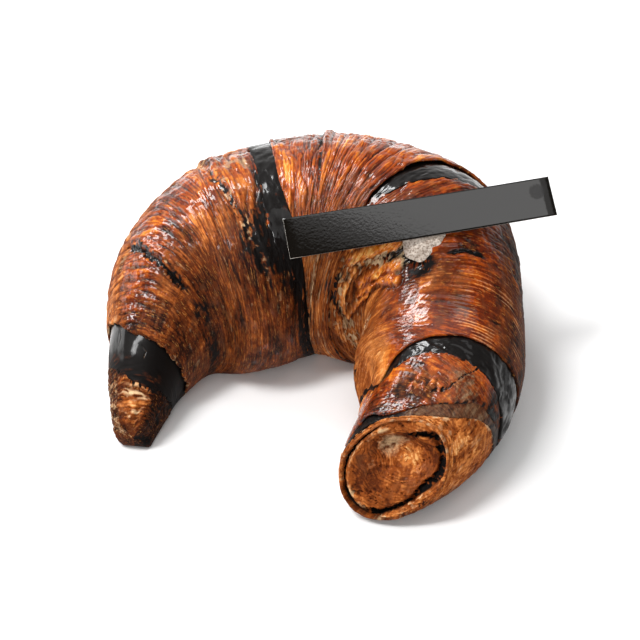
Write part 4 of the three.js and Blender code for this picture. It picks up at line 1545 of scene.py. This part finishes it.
def baked_dough(name, seed, swing_size, dry_rough, wet_rough, coat_rough, bump_mm, syrup_most, film_most,
                scratch_most=0.5, dot_size=0.35):
    """Dough of one kind. swing_size and dot_size say how much the fine streaks and specks change its
    shade, and the three largest amounts are those of syrup, dull film and pale scratches."""
    material, tree, shader = new_material(name)
    streaks = streaks_of(tree, seed)
    swing, dots = (
        math_node(tree, "MULTIPLY", math_node(tree, "SUBTRACT", streaks.outputs[label], 0.5), size)
        for label, size in (("Streaks", swing_size), ("Specks", dot_size)))
    toast = math_node(tree, "ADD", math_node(tree, "ADD", attribute(tree, "toast"), swing), dots, clamp=True)
    wet = remap(tree, math_node(tree, "ADD", attribute(tree, "syrup"), dots), 0.15, 0.85)
    colour = mix_colour(tree, wet, colour_ramp(tree, toast, DRY_CRUST), colour_ramp(tree, toast, WET_CRUST))

    # pale scratches and a dull film lie on the crust, then torn crumb, sesame, and painted shade on what is
    # tucked or folded under
    scratches = streaks_of(tree, seed + 7, 1.5)
    film = noise_texture(tree, attribute(tree, "roll", "Vector"), 0.22, 5)
    torn = math_node(tree, "ADD", attribute(tree, "crumb"), dots)
    dark = math_node(tree, "ADD", attribute(tree, "sesame"), math_node(tree, "MULTIPLY", swing, 1.7))
    painted_shade_under_lip = math_node(tree, "MULTIPLY", attribute(tree, "under"), 0.7)
    for cover, over in ((remap(tree, scratches.outputs["Streaks"], 0.56, 0.70, 0.0, scratch_most), TAN),
                        (remap(tree, film.outputs["Fac"], 0.50, 0.66, 0.0, film_most), MAUVE),
                        (remap(tree, torn, 0.2, 0.9), CREAM),
                        (remap(tree, dark, 0.25, 0.8), BLACK),
                        (painted_shade_under_lip, BLACK)):
        colour = mix_colour(tree, cover, colour, over)
    link(tree, colour, shader.inputs["Base Color"])
    link(tree, math_node(tree, "MULTIPLY", wet, syrup_most), shader.inputs["Coat Weight"])
    link(tree, remap(tree, wet, 0.0, 1.0, dry_rough, wet_rough), shader.inputs["Roughness"])
    shader.inputs["Coat Roughness"].default_value = coat_rough
    shader.inputs["Coat IOR"].default_value = 1.48
    shader.inputs["Specular IOR Level"].default_value = 0.10
    add_bump(tree, shader, math_node(tree, "ADD", swing, dots), bump_mm, 0.6)
    return material


# %% Four kinds of dough
glazed = baked_dough("glazed crust", seed=1.7, swing_size=0.55, dry_rough=0.62, wet_rough=0.42,
                     coat_rough=0.07, bump_mm=0.60, syrup_most=0.85, film_most=0.34)
bare = baked_dough("bare crust", seed=5.3, swing_size=0.50, dry_rough=0.75, wet_rough=0.55,
                   coat_rough=0.25, bump_mm=0.50, syrup_most=0.6, film_most=0.25)
cut_crumb = baked_dough("cut crumb", seed=7.7, swing_size=0.18, dry_rough=0.75, wet_rough=0.55,
                        coat_rough=0.25, bump_mm=0.50, syrup_most=0.6, film_most=0.35,
                        scratch_most=0.12, dot_size=0.5)
sesame = baked_dough("sesame dough", seed=9.1, swing_size=0.30, dry_rough=0.60, wet_rough=0.34,
                     coat_rough=0.10, bump_mm=0.05, syrup_most=0.85, film_most=0.0)
DOUGHS = {"left_tip": bare, "last_turn": bare, "cut_face": cut_crumb}
for name, piece in layers.items():
    dough = sesame if "sesame" in name else DOUGHS.get(name, glazed)
    piece.data.materials.append(dough)
    print(name, "is", dough.name)

# %% [markdown]
# ## Finishes: card, icing and table
#
# The card is glossy black board that was touched near its right end, with a pale cut edge that is
# best seen at its left end. The icing is dry and speckled like stone, and the table is plain white.

# %% The card's faces and its cut edge
SMUDGE = (39.2, 2.2, 0.5)       # where the card was touched, in mm from its middle


def card_board():
    """Glossy black board with a slight orange-peel gloss and a duller touched spot."""
    material, tree, shader = new_material("glossy black card")
    spot_on_card = attribute(tree, "card", "Vector")
    touch = new_node(tree, "ShaderNodeVectorMath", operation="DISTANCE")
    touch.inputs[1].default_value = SMUDGE
    link(tree, spot_on_card, touch.inputs[0])
    peel = noise_texture(tree, spot_on_card, 1.3, 2).outputs["Fac"]
    smudge = remap(tree, math_node(tree, "ADD", touch.outputs["Value"], peel), 2.6, 3.6, 1.0, 0.0)
    link(tree, remap(tree, smudge, 0.0, 1.0, 0.06, 0.26), shader.inputs["Roughness"])
    link(tree, mix_colour(tree, smudge, shade(21, 18, 15), shade(30, 28, 27)), shader.inputs["Base Color"])
    add_bump(tree, shader, peel, 0.014, 1.0)
    return material


def card_edge():
    """The raw edge of the board, palest at the left end."""
    material, tree, shader = new_material("cut card edge")
    split_place = new_node(tree, "ShaderNodeSeparateXYZ")
    link(tree, attribute(tree, "card", "Vector"), split_place.inputs[0])
    from_left = remap(tree, split_place.outputs["X"], -43.6, -38)
    colour = mix_colour(tree, from_left, shade(214, 208, 198), shade(92, 86, 80))
    link(tree, colour, shader.inputs["Base Color"])
    shader.inputs["Roughness"].default_value = 0.8
    return material


card.data.materials.append(card_board())
card.data.materials.append(card_edge())
face_normals = np.array([p.normal for p in card.data.polygons])
through = card_point(np.array([0.5, 0.5]), np.zeros(2), np.array([1.0, 0.0]))
off_card = np.diff(through, axis=0)[0] / CARD_THICK
edge_faces = np.abs(face_normals @ off_card) < 0.6
card.data.polygons.foreach_set("material_index", edge_faces.astype(np.int32))
print(int(edge_faces.sum()), "of the card's faces are its cut edge")


# %% The icing and the table
def dry_icing():
    """Dry icing, specked like stone and stained here and there."""
    material, tree, shader = new_material("dry icing")
    place = new_node(tree, "ShaderNodeTexCoord").outputs["Object"]
    dust = noise_texture(tree, place, 1500, 4).outputs["Fac"]
    stain = noise_texture(tree, place, 260, 3).outputs["Fac"]
    dusted = mix_colour(tree, remap(tree, dust, 0.36, 0.56), shade(135, 119, 106), shade(206, 193, 180))
    stained = mix_colour(tree, remap(tree, stain, 0.42, 0.62, 0.0, 0.5), dusted, shade(146, 129, 115))
    link(tree, stained, shader.inputs["Base Color"])
    shader.inputs["Roughness"].default_value = 0.85
    add_bump(tree, shader, dust, 0.2, 0.6)
    return material


dab.data.materials.append(dry_icing())
white, _, shader = new_material("white table")
shader.inputs["Base Color"].default_value = (0.93, 0.93, 0.93, 1)
shader.inputs["Roughness"].default_value = 0.8
table.data.materials.append(white)
print("the icing has", len(dab.data.materials), "material and so has the table")
